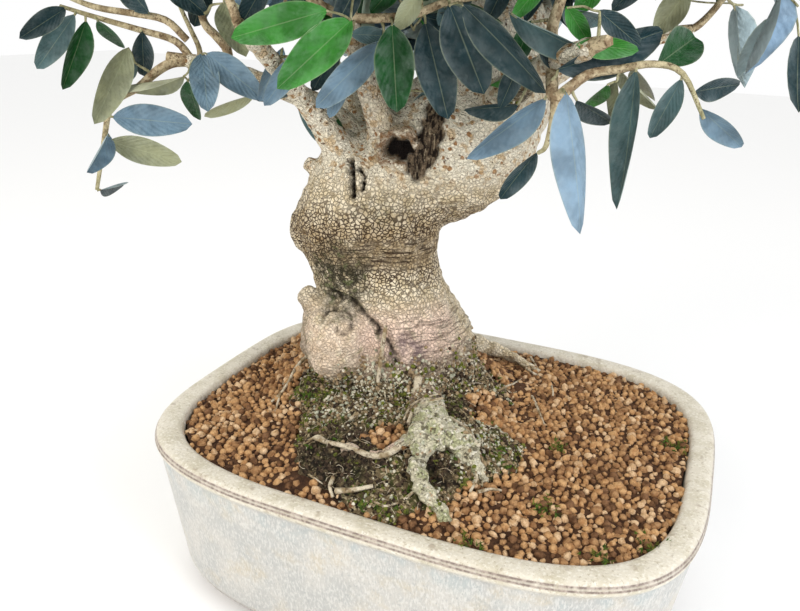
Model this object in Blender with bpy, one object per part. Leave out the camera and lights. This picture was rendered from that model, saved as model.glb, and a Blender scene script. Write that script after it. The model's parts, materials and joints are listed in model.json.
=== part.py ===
"""Olive bonsai in a glazed pot, as separate solids. Metres, +Z up, origin under the middle of the pot.

The tree is laid out in its own terms: u runs to the right and v away from a person who looks at
the tree's front, from the middle of its foot, and z is the height over the table. at() turns that
into the pot's frame, in which the tree is planted at an angle.
"""
import math
import random

import bmesh
import bpy
from mathutils import Matrix, Vector

MM = 0.001
CLEAR = 0.3 * MM            # running gap between neighbours
GROWN = 0.35 * MM           # how much a limb swells to cut its neighbour back

# The pot, outside at the lip.
POT_LENGTH = 340 * MM
POT_WIDTH = 275 * MM
POT_HEIGHT = 110 * MM
POT_ROUNDNESS = 3.65        # power of the rounded rectangle: 2 is an ellipse, more is squarer
POT_SIDES = 40
LIP_WIDTH = 15 * MM
LIP_THICKNESS = 7 * MM
WALL_LEAN = 12.5 * MM       # how much the wall comes in from lip to bottom corner
WALL = 10 * MM
FLOOR = 12 * MM
FOOT_HEIGHT = 6 * MM        # the low base that the pot stands on, flat underneath
FOOT_INSET = 16 * MM        # how far the base stands in from the wall's bottom corner
FOOT_SIDES = 23
DRAIN_RADIUS = 10 * MM
DRAIN_OFFSET = 72 * MM

# The soil, its mound under the tree and the moss on it.
SOIL_EDGE = POT_HEIGHT - 4.5 * MM
SOIL_DOME = 5 * MM
MOUND_HEIGHT = 14 * MM
MOUND_CENTRE = (8 * MM, -66 * MM)       # u, v of the root ball that rises in front of the trunk
MOUND_REACH = (82 * MM, 98 * MM)
MOUND_CROWN = 0.3           # share of the mound's reach that is level
FOOT_LEVEL = (62 * MM, 57 * MM)         # level ground under the trunk
FOOT_SKIRT = 1.42           # where that has run out into the soil, as a share of it
MOSS_CENTRE = (5 * MM, -50 * MM)
MOSS_REACH = 80 * MM
MOSS_FRONT, MOSS_BACK = 112 * MM, 122 * MM
MOSS_THICKNESS = 3.4 * MM
MOSS_EDGE = 1.4 * MM
MOSS_INSET = 2 * MM         # how far it stays inside the lip

# The tree's place and turn in the pot.
TREE_FOOT = (-42 * MM, 20 * MM)
TREE_TURN = math.radians(23)
GROUND = SOIL_EDGE + SOIL_DOME + MOUND_HEIGHT

# The trunk's column: height over the table, middle in u and v, half width, half depth.
COLUMN = (
    (100, 2, 0, 66, 60),
    (117, 1, 0, 60, 55),
    (128, 0, 0, 56, 51),
    (140, -1, 0, 54.5, 49),
    (153, -2, 1, 53, 48),
    (166, -5, 2, 48.5, 45),
    (180, -10, 2, 45.5, 42),
    (194, -16, 2, 43.5, 40),
    (207, -19, 1, 43.5, 40),
    (217, -21, 0, 46.5, 42),
    (227, -22, -2, 48.5, 44),
    (239, -21, -3, 46.5, 43),
    (251, -19, -4, 43.5, 40),
    (263, -18, -4, 39, 36),
    (275, -18, -3, 31, 29),
    (284, -18, -2, 19, 18),
)
COLUMN_SIDES = 18
FLARE_LOBES = 5
FLARE_DEPTH = 0.07
FLARE_TOP = 175 * MM

# Limbs: points (u, v, z) and radii in millimetres, from the butt to the tip.
ELBOW = (
    ((-16, -2, 246), 38),
    ((10, -1, 266), 42),
    ((35, 1, 284), 46),
    ((50, 3, 311), 39),
    ((53, 5, 338), 32),
    ((51, 5, 360), 27),
)
SURFACE_ROOTS = {
    "claw": (((10, -38, 129), 12), ((20, -64, 130), 12), ((20, -92, 131), 13), ((13, -120, 124), 8),
             ((18, -140, 118), 7), ((32, -150, 107), 4.5)),
    "claw_fork": (((22, -88, 130), 9), ((38, -106, 127), 8), ((48, -115, 120), 6), ((54, -121, 110), 4.5)),
    "left": (((10, -98, 126), 6), ((-6, -110, 121), 4.2), ((-28, -99, 118), 3.8), ((-48, -77, 110), 2.8)),
    "left_back": (((-46, 28, 132), 6), ((-60, 24, 122), 4), ((-70, 0, 115), 3.2), ((-82, -28, 105), 2.4)),
    "right": (((40, 34, 130), 9), ((67, 41, 123), 6.5), ((84, 39, 118), 5), ((105, 36, 108), 3.5)),
}
LOWER_BURL = ((-37, -20, 154), (28, 32, 33))
LEFT_KNOB = ((-60, -4, 224), (13, 15, 17))
STUBS = (
    ((-50, -18, 172), (-61, -22, 186), 6.5),
    ((-48, -8, 258), (-62, -12, 268), 5),
    ((0, -28, 279), (-3, -42, 281), 12.5),
)

BOUGHS = {
    "leader": (((51, 5, 356), 27), ((46, 6, 385), 19), ((37, 6, 415), 14), ((26, 5, 446), 9.5), ((16, 4, 474), 6)),
    "front_bough": (((-8, -20, 278), 12), ((-18, -30, 304), 8), ((-28, -38, 335), 6), ((-34, -48, 364), 5), ((-32, -60, 392), 4)),
    "left_bough": (((-26, 0, 276), 10), ((-52, 0, 299), 7), ((-78, 2, 309), 6.2), ((-106, 2, 318), 5.2), ((-131, 0, 323), 4.2)),
    "front_left_bough": (((-34, -12, 266), 9), ((-58, -34, 306), 6.5), ((-70, -60, 327), 5.5), ((-78, -84, 342), 4.5)),
    "front_right_bough": (((48, -22, 300), 13), ((62, -56, 322), 8.5), ((72, -82, 335), 6.5), ((84, -106, 343), 5)),
    "right_bough": (((70, 6, 318), 13), ((104, 4, 334), 8), ((130, 0, 342), 6.2), ((152, -4, 348), 4.8)),
    "back_right_bough": (((62, 22, 326), 12), ((82, 56, 346), 8.5), ((94, 82, 358), 6.5), ((100, 98, 364), 5)),
    "back_left_bough": (((-22, 18, 262), 12), ((-44, 50, 306), 8.5), ((-66, 80, 335), 6.5), ((-80, 98, 350), 5)),
    "upper_left_bough": (((36, 4, 408), 10), ((6, -2, 426), 7.5), ((-26, -6, 440), 6), ((-52, -8, 450), 4.8)),
    "upper_right_bough": (((46, 8, 386), 11), ((72, 14, 412), 7.5), ((86, 16, 434), 6), ((92, 16, 452), 4.8)),
    "upper_back_bough": (((44, 8, 392), 11), ((34, 44, 420), 7.5), ((18, 70, 440), 6), ((8, 84, 452), 4.8)),
}
LIMB_SIDES = 8

# The crown: a dome with an open underside, shared out among the masses by their middles.
CROWN_MIDDLE = Vector((-4, 0, 345)) * MM
CROWN_REACH = Vector((238, 212, 0)) * MM
CROWN_RISE = 228 * MM
CROWN_DROOP = 105 * MM
UNDERSIDE = 299 * MM        # lowest leaf over the trunk's foot
FRONT_LIFT = 0.15           # rise of the underside for each metre towards the front
SIDE_DROOP = 56 * MM        # how far the ends of the crown hang under that
DROOP_START, DROOP_END = 95 * MM, 175 * MM
MASSES = {
    "left_foliage": ("left_bough", (-158, 0, 345)),
    "front_left_foliage": ("front_left_bough", (-92, -118, 372)),
    "front_right_foliage": ("front_right_bough", (92, -122, 366)),
    "right_foliage": ("right_bough", (164, -6, 366)),
    "back_right_foliage": ("back_right_bough", (100, 112, 378)),
    "back_left_foliage": ("back_left_bough", (-86, 112, 378)),
    "front_foliage": ("front_bough", (-4, -104, 446)),
    "upper_left_foliage": ("upper_left_bough", (-98, -8, 466)),
    "upper_right_foliage": ("upper_right_bough", (98, 6, 468)),
    "upper_back_foliage": ("upper_back_bough", (4, 108, 462)),
    "top_foliage": ("leader", (0, 0, 524)),
}
SPACE_GAP = 3 * MM          # between two masses' spaces
TWIGS_PER_MASS = 9
TWIG_RADIUS = 2.6 * MM
TWIG_TIP_RADIUS = 1.0 * MM
CHILD_SHARE = 0.72          # radius of a side twig at its root, as a share of its parent's there
STEM_LENGTH = 14 * MM
LEAF_LENGTH = 60 * MM
LEAF_WIDTH = 22 * MM
LEAF_THICKNESS = 1.8 * MM
LEAF_STEP = 13 * MM         # from one pair of leaves to the next
LEAFY_SHARE = 0.85          # outer share of a twig that bears leaves
LEAF_START = 0.15 * MM      # how far from its twig's middle line a leaf's root starts, inside the twig
LEAF_SPACING = 5.5 * MM     # between one leaf's places and another's
LEAF_TURNS = 5              # ways round the twig that a leaf could point
LEAVES_PER_MASS = 34
LIMB_MARGIN = 5 * MM
SEED = 23


def at(u, v, z):
    """A point of the tree, in the pot's frame."""
    c, s = math.cos(TREE_TURN), math.sin(TREE_TURN)
    return Vector((TREE_FOOT[0] + u * c - v * s, TREE_FOOT[1] + u * s + v * c, z))


def at_mm(point):
    return at(*(value * MM for value in point))


def turned(vector):
    """A direction of the tree, in the pot's frame."""
    return Matrix.Rotation(TREE_TURN, 3, "Z") @ Vector(vector)


def tree_terms(point):
    """u, v and z of a point of the pot's frame."""
    local = Matrix.Rotation(-TREE_TURN, 3, "Z") @ (point - Vector((*TREE_FOOT, 0)))
    return local.x, local.y, local.z


# ---- meshes and Booleans ----

def material(name, colour, roughness, metallic=0.0):
    made = bpy.data.materials.new(name)
    made.use_nodes = True
    shader = made.node_tree.nodes["Principled BSDF"]
    shader.inputs["Base Color"].default_value = (*colour, 1)
    shader.inputs["Roughness"].default_value = roughness
    shader.inputs["Metallic"].default_value = metallic
    return made


def object_of(bm, name, split=True):
    """A new object. Split faces are split the same way each time, so a cutter follows its solid."""
    bmesh.ops.recalc_face_normals(bm, faces=bm.faces)
    if split:
        bmesh.ops.triangulate(bm, faces=bm.faces, quad_method="FIXED")
    mesh = bpy.data.meshes.new(name)
    bm.to_mesh(mesh)
    bm.free()
    made = bpy.data.objects.new(name, mesh)
    bpy.context.scene.collection.objects.link(made)
    return made


def finish(made, name, finish_material):
    made.name = made.data.name = name
    made.data.materials.clear()
    made.data.materials.append(finish_material)
    made.data.shade_smooth()
    made.data.set_sharp_from_angle(angle=math.radians(40))
    return made


def remove(made):
    bpy.data.objects.remove(made)


def applied(made, modifier):
    """made with its Boolean turned into mesh."""
    graph = bpy.context.evaluated_depsgraph_get()
    mesh = bpy.data.meshes.new_from_object(made.evaluated_get(graph))
    made.modifiers.remove(modifier)
    made.data = mesh
    return made


def fused(body, pieces):
    """body joined with pieces by one Boolean union on a collection."""
    group = bpy.data.collections.new("pieces")
    bpy.context.scene.collection.children.link(group)
    for piece in pieces:
        bpy.context.scene.collection.objects.unlink(piece)
        group.objects.link(piece)
    union = body.modifiers.new("union", "BOOLEAN")
    union.operation, union.solver = "UNION", "MANIFOLD"
    union.operand_type, union.collection = "COLLECTION", group
    applied(body, union)
    for piece in pieces:
        remove(piece)
    bpy.data.collections.remove(group)
    return body


def cut(body, cutter, operation="DIFFERENCE"):
    """body less cutter, or only what it shares with cutter, which stays."""
    difference = body.modifiers.new("cut", "BOOLEAN")
    difference.operation, difference.solver = operation, "MANIFOLD"
    difference.object = cutter
    return applied(body, difference)


def bodies(made, count):
    """The largest loose bodies of a mesh as objects, largest first; the scraps are dropped."""
    bm = bmesh.new()
    bm.from_mesh(made.data)
    left, islands = set(bm.faces), []
    while left:
        island, reached = [], [left.pop()]
        while reached:
            face = reached.pop()
            island.append(face)
            for edge in face.edges:
                near = [f for f in edge.link_faces if f in left]
                left.difference_update(near)
                reached.extend(near)
        islands.append(island)
    islands.sort(key=lambda faces: sum(f.calc_area() for f in faces), reverse=True)
    found = []
    for island in islands[:count]:
        body, verts = bmesh.new(), {}
        for face in island:
            for vert in face.verts:
                if vert not in verts:
                    verts[vert] = body.verts.new(vert.co)
            body.faces.new([verts[vert] for vert in face.verts])
        found.append(object_of(body, made.name, split=False))
    bm.free()
    remove(made)
    return found


def largest_body(made):
    return bodies(made, 1)[0]


def loft(bm, rings):
    """Skin over rings of equal count, with a flat cap at both ends."""
    loops = [[bm.verts.new(point) for point in ring] for ring in rings]
    for low, high in zip(loops, loops[1:]):
        for i in range(len(low)):
            j = (i + 1) % len(low)
            bm.faces.new((low[i], low[j], high[j], high[i]))
    bm.faces.new(reversed(loops[0]))
    bm.faces.new(loops[-1])


def spline(points, steps):
    """Points along a smooth curve through the given ones (Catmull-Rom), as vectors of any length."""
    first, last = 2 * points[0] - points[1], 2 * points[-1] - points[-2]
    padded = [first, *points, last]
    curve = []
    for k in range(1, len(padded) - 2):
        a, b, c, d = padded[k - 1:k + 3]
        for step in range(steps):
            t = step / steps
            curve.append(0.5 * (2 * b + (c - a) * t + (2 * a - 5 * b + 4 * c - d) * t ** 2
                                + (3 * b - a - 3 * c + d) * t ** 3))
    return [*curve, points[-1]]


def tube(name, path, radii, sides):
    """A tapering limb round a path, with flat ends square to it."""
    rings = []
    normal = None
    for i, point in enumerate(path):
        ahead = (path[min(i + 1, len(path) - 1)] - path[max(i - 1, 0)]).normalized()
        if normal is None:
            normal = ahead.orthogonal().normalized()
        normal = (normal - normal.dot(ahead) * ahead).normalized()
        across = ahead.cross(normal)
        turns = [2 * math.pi * k / sides for k in range(sides)]
        rings.append([point + radii[i] * (math.cos(t) * normal + math.sin(t) * across) for t in turns])
    bm = bmesh.new()
    loft(bm, rings)
    return object_of(bm, name, split=sides > 3)


def limb_line(limb, steps=2):
    """The path and radii of a limb given as points and radii in millimetres."""
    path = spline([at_mm(point) for point, _ in limb], steps)
    radii = spline([Vector((radius * MM, 0, 0)) for _, radius in limb], steps)
    return path, [r.x for r in radii]


def limb(name, limb_points, grow=0.0, sides=LIMB_SIDES, steps=2):
    path, radii = limb_line(limb_points, steps)
    path[0] += (path[0] - path[1]).normalized() * grow
    path[-1] += (path[-1] - path[-2]).normalized() * grow
    return tube(name, path, [r + grow for r in radii], sides)


def egg(name, middle, reach, grow=0.0):
    """A rounded lump with the given middle and half sizes, in millimetres."""
    bm = bmesh.new()
    bmesh.ops.create_icosphere(bm, subdivisions=2, radius=1)
    for vert in bm.verts:
        size = [vert.co[k] * (reach[k] * MM + grow) for k in range(3)]
        vert.co = at_mm(middle) + turned(size)
    return object_of(bm, name)


# ---- pot and soil ----

def rounded_ring(inset, z, sides=POT_SIDES, share=1.0):
    """A level ring of the pot's plan, brought in by inset."""
    half_length, half_width = POT_LENGTH / 2 - inset, POT_WIDTH / 2 - inset
    ring = []
    for k in range(sides):
        turn = 2 * math.pi * (k + 0.5) / sides
        c, s = math.cos(turn), math.sin(turn)
        x = half_length * share * math.copysign(abs(c) ** (2 / POT_ROUNDNESS), c)
        y = half_width * share * math.copysign(abs(s) ** (2 / POT_ROUNDNESS), s)
        ring.append(Vector((x, y, z)))
    return ring


def wall_inset(z):
    """How far the outer wall stands in from the lip's edge at height z."""
    top = POT_HEIGHT - LIP_THICKNESS
    return 1.5 * MM + WALL_LEAN * (top - z) / (top - FOOT_HEIGHT)


def make_pot(glaze):
    top = POT_HEIGHT
    profile = [
        (wall_inset(FOOT_HEIGHT) + 12 * MM, FOOT_HEIGHT),
        (wall_inset(FOOT_HEIGHT) + 4 * MM, FOOT_HEIGHT + 4 * MM),
        (wall_inset(FOOT_HEIGHT + 13 * MM), FOOT_HEIGHT + 13 * MM),
        (wall_inset(top - LIP_THICKNESS), top - LIP_THICKNESS),
        (0.4 * MM, top - LIP_THICKNESS + 1 * MM),
        (0, top - 4 * MM),
        (1.2 * MM, top - 1.2 * MM),
        (4 * MM, top),
        (LIP_WIDTH - 3 * MM, top - 0.4 * MM),
        (LIP_WIDTH, top - 2.5 * MM),
        (LIP_WIDTH + 1 * MM, top - 8 * MM),
        (wall_inset(30 * MM) + WALL, 30 * MM),
        (wall_inset(FLOOR + FOOT_HEIGHT) + WALL + 12 * MM, FLOOR + FOOT_HEIGHT),
    ]
    bm = bmesh.new()
    loft(bm, [rounded_ring(inset, z) for inset, z in profile])
    pot = object_of(bm, "pot")
    bm = bmesh.new()
    edge = wall_inset(FOOT_HEIGHT) + FOOT_INSET
    loft(bm, [rounded_ring(edge + inset, z, FOOT_SIDES) for inset, z in (
        (1.5 * MM, 0), (0, 1.5 * MM), (0, FOOT_HEIGHT + FLOOR / 4))])
    fused(pot, [object_of(bm, "foot")])
    for side in (-1, 1):
        bm = bmesh.new()
        place = Matrix.Translation((side * DRAIN_OFFSET, 0, (FOOT_HEIGHT + FLOOR) / 2))
        bmesh.ops.create_cone(bm, cap_ends=True, segments=12, radius1=DRAIN_RADIUS,
                              radius2=DRAIN_RADIUS, depth=3 * FLOOR, matrix=place)
        drain = object_of(bm, "drain")
        cut(pot, drain)
        remove(drain)
    return finish(pot, "pot", glaze)


def smoothstep(low, high, value):
    t = min(1.0, max(0.0, (value - low) / (high - low)))
    return t * t * (3 - 2 * t)


def mound_share(u, v):
    """1 on the level ground under the trunk and on the mound's crown, 0 where they run out."""
    ball = math.hypot((u - MOUND_CENTRE[0]) / MOUND_REACH[0], (v - MOUND_CENTRE[1]) / MOUND_REACH[1])
    foot = math.hypot(u / FOOT_LEVEL[0], v / FOOT_LEVEL[1])
    return max(1 - smoothstep(MOUND_CROWN, 1.0, ball), 1 - smoothstep(1.0, FOOT_SKIRT, foot))


def soil_height(x, y):
    """Height of the soil: level at the pot's wall, a little domed, and raised round the tree."""
    inset = LIP_WIDTH
    reach = (abs(x / (POT_LENGTH / 2 - inset)) ** POT_ROUNDNESS
             + abs(y / (POT_WIDTH / 2 - inset)) ** POT_ROUNDNESS) ** (1 / POT_ROUNDNESS)
    dome = SOIL_DOME * (1 - smoothstep(0.45, 1.0, reach))
    u, v, _ = tree_terms(Vector((x, y, 0)))
    mound = mound_share(u, v) * (1 - smoothstep(0.93, 1.0, reach))
    return SOIL_EDGE + dome + (GROUND - SOIL_EDGE - dome) * mound


def soil_solid(name, lift, bottom):
    """The soil's body: its top at lift over the surface, its foot made of (inset, height) rings."""
    centre = Vector((*TREE_FOOT, 0)) * 0.6
    top_rings = []
    outer = rounded_ring(bottom[-1][0], 0)
    for share in (1.0, 0.87, 0.74, 0.62, 0.5, 0.36, 0.18):
        ring = [centre + (point - centre) * share for point in outer]
        top_rings.append([Vector((p.x, p.y, soil_height(p.x, p.y) + lift)) for p in ring])
    bm = bmesh.new()
    loft(bm, [rounded_ring(inset, z) for inset, z in bottom] + top_rings)
    return object_of(bm, name)


def make_soil(earth):
    floor = FLOOR + FOOT_HEIGHT + CLEAR
    side = WALL + CLEAR
    bottom = [
        (wall_inset(FLOOR + FOOT_HEIGHT) + side + 12 * MM, floor),
        (wall_inset(30 * MM) + side, 30 * MM + CLEAR),
        (LIP_WIDTH + 1 * MM + CLEAR, POT_HEIGHT - 8 * MM),
    ]
    return finish(soil_solid("soil", 0, bottom), "soil", earth)


def make_ground_cutter():
    """All that lies under the soil's surface, raised by the running gap."""
    return soil_solid("ground", CLEAR, [(5 * MM, 20 * MM), (LIP_WIDTH + 1.3 * MM, 80 * MM)])


def make_moss(moss_green, cutters):
    """A skin of moss over the root ball, cut clear of the ground, the trunk and its roots.

    The roots part it into a left and a right half.
    """
    sides, shares = 22, (1.0, 0.88, 0.55)
    rings = [(1.0, -2 * MM)] + [
        (share, MOSS_EDGE + (MOSS_THICKNESS - MOSS_EDGE) * (1 - smoothstep(0.75, 1.0, share)))
        for share in shares]
    points = []
    for share, lift in rings:
        ring = []
        for k in range(sides):
            turn = 2 * math.pi * k / sides
            ragged = 0.93 + 0.05 * math.sin(3 * turn + 1) + 0.035 * math.sin(7 * turn)
            reach = MOSS_FRONT if turn > math.pi else MOSS_BACK
            u = MOSS_CENTRE[0] + MOSS_REACH * share * ragged * math.cos(turn)
            v = MOSS_CENTRE[1] + reach * share * ragged * math.sin(turn)
            place = at(u, v, 0)
            ring.append(Vector((place.x, place.y, soil_height(place.x, place.y) + lift)))
        points.append(ring)
    bm = bmesh.new()
    loft(bm, points)
    moss = object_of(bm, "moss")
    bm = bmesh.new()
    loft(bm, [rounded_ring(LIP_WIDTH + MOSS_INSET, z) for z in (POT_HEIGHT / 2, 2 * POT_HEIGHT)])
    inside = object_of(bm, "inside")
    cut(moss, inside, "INTERSECT")
    remove(inside)
    for cutter in cutters:
        cut(moss, cutter)
    halves = sorted(bodies(moss, 2), key=lambda half: sum(tree_terms(v.co)[0] for v in half.data.vertices))
    for half, name in zip(halves, ("moss_left", "moss_right")):
        finish(half, name, moss_green)


# ---- trunk and boughs ----

def make_trunk_shape(name, grow=0.0):
    """The column with its flare, burl, knob, cut stubs, elbow and surface roots, fused."""
    rings = []
    for z, u, v, half_width, half_depth in COLUMN:
        height = z * MM
        flare = FLARE_DEPTH * (1 - smoothstep(0.6 * FLARE_TOP, FLARE_TOP, height))
        ring = []
        for k in range(COLUMN_SIDES):
            turn = 2 * math.pi * k / COLUMN_SIDES
            swell = 1 + flare * math.cos(FLARE_LOBES * turn + 0.8)
            ring.append(at((u * MM) + (half_width * MM * swell + grow) * math.cos(turn),
                           (v * MM) + (half_depth * MM * swell + grow) * math.sin(turn), height))
        rings.append(ring)
    rings[-1] = [point + Vector((0, 0, grow)) for point in rings[-1]]
    bm = bmesh.new()
    loft(bm, rings)
    column = object_of(bm, name)
    pieces = [egg("burl", *LOWER_BURL, grow), egg("knob", *LEFT_KNOB, grow)]
    pieces.append(limb("elbow", ELBOW, grow, sides=12, steps=2))
    pieces += [limb(root, line, grow, sides=6) for root, line in SURFACE_ROOTS.items()]
    for butt, tip, radius in STUBS:
        line = ((butt, radius * 1.2), (tip, radius))
        pieces.append(limb("stub", line, grow, sides=9, steps=1))
    return fused(column, pieces)


def make_bough(name, points, bark, cutters):
    """One tapering limb, its butt cut to its parent's surface or set end to end with it."""
    bough = limb(name, points, sides=LIMB_SIDES)
    for cutter in cutters:
        cut(bough, cutter)
    return finish(largest_body(bough), name, bark)


# ---- crown ----

def in_crown(point):
    """Whether a point in the pot's frame lies in the dome and over its underside."""
    u, v, z = tree_terms(point)
    rise = CROWN_RISE if z > CROWN_MIDDLE.z else CROWN_DROOP
    reach = math.sqrt(((u - CROWN_MIDDLE.x) / CROWN_REACH.x) ** 2
                      + ((v - CROWN_MIDDLE.y) / CROWN_REACH.y) ** 2
                      + ((z - CROWN_MIDDLE.z) / rise) ** 2)
    droop = SIDE_DROOP * smoothstep(DROOP_START, DROOP_END, math.hypot(u, max(v, 0)))
    return reach < 1 and z > UNDERSIDE + FRONT_LIFT * max(0, -v) - droop


def room_in(point, mass):
    """Whether a point lies in a mass's own share of the crown, clear of every limb."""
    own = at_mm(MASSES[mass][1])
    for other in MASSES:
        if other == mass:
            continue
        middle = at_mm(MASSES[other][1])
        apart = ((point - middle).length_squared - (point - own).length_squared) / (2 * (middle - own).length)
        if apart < SPACE_GAP / 2:
            return False
    return in_crown(point)


def near_limb(point, lines, margin):
    return any((point - place).length < radius + margin for path, radii in lines
               for place, radius in zip(path, radii))


def scatter(mass, count, draw):
    """Points spread evenly through a mass's space: each is the candidate farthest from the others."""
    middle = at_mm(MASSES[mass][1])
    chosen = []
    while len(chosen) < count:
        candidates = []
        while len(candidates) < 24:
            offset = Vector([draw.uniform(-1, 1) for _ in range(3)]) * 150 * MM
            if room_in(middle + offset, mass):
                candidates.append(middle + offset)
        chosen.append(max(candidates, key=lambda p: min(
            [(p - q).length for q in chosen] + [0.6 * (p - middle).length + 20 * MM])))
    return chosen


def leaf(base, ahead, side, length):
    """A pointed leaf of eight faces: root and tip, two edges, a ridge above and one below."""
    up = ahead.cross(side).normalized()
    widest = base + ahead * length * 0.52
    ends = base, base + ahead * length
    edges = widest + side * LEAF_WIDTH / 2, widest - side * LEAF_WIDTH / 2
    ridges = widest + up * LEAF_THICKNESS / 2, widest - up * LEAF_THICKNESS / 2
    bm = bmesh.new()
    verts = [bm.verts.new(p) for p in (*ends, *edges, *ridges)]
    root, tip, left, right, above, below = verts
    for a, b in ((left, above), (above, right), (right, below), (below, left)):
        bm.faces.new((root, a, b))
        bm.faces.new((tip, b, a))
    return object_of(bm, "leaf")


def leaf_points(base, ahead, side, length):
    """Places round a leaf's outline and along its middle."""
    widest = base + ahead * length * 0.52
    tip = base + ahead * length
    return [base, tip, widest, (base + widest) / 2, (widest + tip) / 2,
            widest + side * LEAF_WIDTH / 2, widest - side * LEAF_WIDTH / 2]


def twig_path(start, end, ahead):
    """A twig that leaves along its parent and bends to its end, a little arched."""
    span = (end - start).length
    pull = start + ahead * span * 0.35
    lift = Vector((0, 0, 0.06 * span))
    return [start.lerp(pull, 2 * t * (1 - t)).lerp(end, t * t) + lift * math.sin(math.pi * t)
            for t in (0, 0.5, 1.0)]


def between(path, steps):
    """Points along a path, the first one left out."""
    return [a.lerp(b, k / steps) for a, b in zip(path, path[1:]) for k in range(1, steps + 1)]


def crowded(places, taken, spacing):
    return any((p - q).length_squared < spacing ** 2 for p in places for q in taken)


def leaf_seats(path, mass, lines, draw):
    """Every leaf that the outer part of a twig could bear: (base, heading, side, length, places)."""
    lengths = [(b - a).length for a, b in zip(path, path[1:])]
    total = sum(lengths)
    seats = []
    distance = total - 1 * MM
    while distance > total * (1 - LEAFY_SHARE):
        left, k = distance, 0
        while k < len(lengths) - 1 and left > lengths[k]:
            left -= lengths[k]
            k += 1
        ahead = (path[k + 1] - path[k]).normalized()
        point = path[k] + ahead * min(left, lengths[k])
        for turn in range(LEAF_TURNS):
            spread = math.radians(draw.uniform(34, 62)) if distance < total - 2 * MM else math.radians(24)
            around = Matrix.Rotation(2 * math.pi * (turn + draw.random()) / LEAF_TURNS, 3, ahead) \
                @ ahead.orthogonal().normalized()
            heading = (ahead * math.cos(spread) + around * math.sin(spread) + Vector((0, 0, 0.12))).normalized()
            side = heading.cross(ahead.cross(around)).cross(heading).normalized()
            length = LEAF_LENGTH * draw.uniform(0.74, 1.06)
            base = point + heading * LEAF_START
            places = leaf_points(base, heading, side, length)
            if not any(near_limb(p, lines, LIMB_MARGIN) for p in places) and all(
                    room_in(p, mass) for p in places):
                seats.append((base, heading, side, length, places[1:]))
        distance -= LEAF_STEP
    return seats


def spread_leaves(seats, taken, foot):
    """The leaves themselves: each next one is the seat farthest from those already there."""
    clear = [(foot - seat[4][0]).length for seat in seats]
    leaves = []
    while seats and len(leaves) < LEAVES_PER_MASS:
        k = max(range(len(seats)), key=clear.__getitem__)
        seat = seats.pop(k)
        clear.pop(k)
        if crowded(seat[4], taken, LEAF_SPACING):
            continue
        leaves.append(leaf(*seat[:4]))
        taken += seat[4]
        clear = [min(old, (other[4][1] - seat[4][1]).length) for old, other in zip(clear, seats)]
    return leaves


def make_mass(mass, foliage, lines, draw):
    """Twigs that branch from one stem at the bough's tip, with leaves fused on."""
    path, radii = limb_line(BOUGHS[MASSES[mass][0]])
    ahead = (path[-1] - path[-2]).normalized()
    stem_foot = path[-1] + ahead * CLEAR
    stem_tip = stem_foot + ahead * STEM_LENGTH
    stem = tube("stem", [stem_foot, stem_tip], [radii[-1], TWIG_RADIUS * 1.3], 6)
    joints = [(stem_tip, ahead, TWIG_RADIUS)]
    ways, widths, taken = [], [], []
    ends = sorted(scatter(mass, TWIGS_PER_MASS, draw), key=lambda p: (p - stem_tip).length)
    for end in ends:
        start, along, radius = min(joints, key=lambda j: (j[0] - end).length)
        way = twig_path(start, end, along)
        along_way = between(way, 8)
        if any(near_limb(p, lines, LIMB_MARGIN) for p in along_way[1:]) or not all(
                room_in(p, mass) for p in along_way[5:]):
            continue
        ways.append(way)
        tip_radius = max(TWIG_TIP_RADIUS, radius * 0.5)
        radii = [radius, (radius + tip_radius) / 2, tip_radius]
        widths.append(radii)
        taken += along_way[3:]
        for k in (4, 9, 12):
            here = radius + (tip_radius - radius) * k / 16
            joints.append((along_way[k], (along_way[k + 1] - along_way[k]).normalized(), here * CHILD_SHARE))
    twigs = [tube("twig", way, radii, 3) for way, radii in zip(ways, widths)]
    seats = [seat for way in ways for seat in leaf_seats(way, mass, lines, draw)]
    leaves = spread_leaves(seats, taken, stem_foot)
    pieces = twigs + leaves
    fused(stem, pieces)
    print(f"{mass}: {len(twigs)} twigs, {len(leaves)} leaves, "
          f"{sum(len(p.vertices) - 2 for p in stem.data.polygons)} triangles")
    return finish(largest_body(stem), mass, foliage)


def build():
    for old in list(bpy.data.objects):
        bpy.data.objects.remove(old)
    glaze = material("glazed_stoneware", (0.62, 0.60, 0.52), 0.28)
    earth = material("akadama", (0.42, 0.20, 0.09), 0.95)
    moss_green = material("moss", (0.10, 0.12, 0.06), 0.95)
    bark = material("olive_bark", (0.48, 0.40, 0.28), 0.85)
    foliage = material("olive_leaf", (0.13, 0.20, 0.13), 0.5)

    make_pot(glaze)
    make_soil(earth)
    trunk_cutter = make_trunk_shape("trunk_cutter", GROWN)
    trunk = make_trunk_shape("trunk")
    ground = make_ground_cutter()
    cut(trunk, ground)
    finish(largest_body(trunk), "trunk", bark)
    make_moss(moss_green, [ground, trunk_cutter])
    remove(ground)

    cutters = [trunk_cutter]
    for name, points in BOUGHS.items():
        make_bough(name, points, bark, cutters)
        cutters.append(limb("cutter", points, GROWN))
    for cutter in cutters:
        remove(cutter)

    lines = [limb_line(points, 6) for points in (*BOUGHS.values(), ELBOW)]
    for turn, mass in enumerate(MASSES):
        make_mass(mass, foliage, lines, random.Random(SEED + turn))
    print("triangles in all:", sum(len(p.vertices) - 2 for o in bpy.data.objects for p in o.data.polygons))


build()
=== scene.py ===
# %% [markdown]
# This lesson dresses an olive bonsai: a thick old trunk in a shallow glazed pot, with leathery grey
# and green leaves over it. The solids of the pot and the tree come in first, as a fixed frame, and
# each finished piece is set against them. All sizes are in metres, and every piece stands at the
# origin with its place in its mesh.

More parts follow.
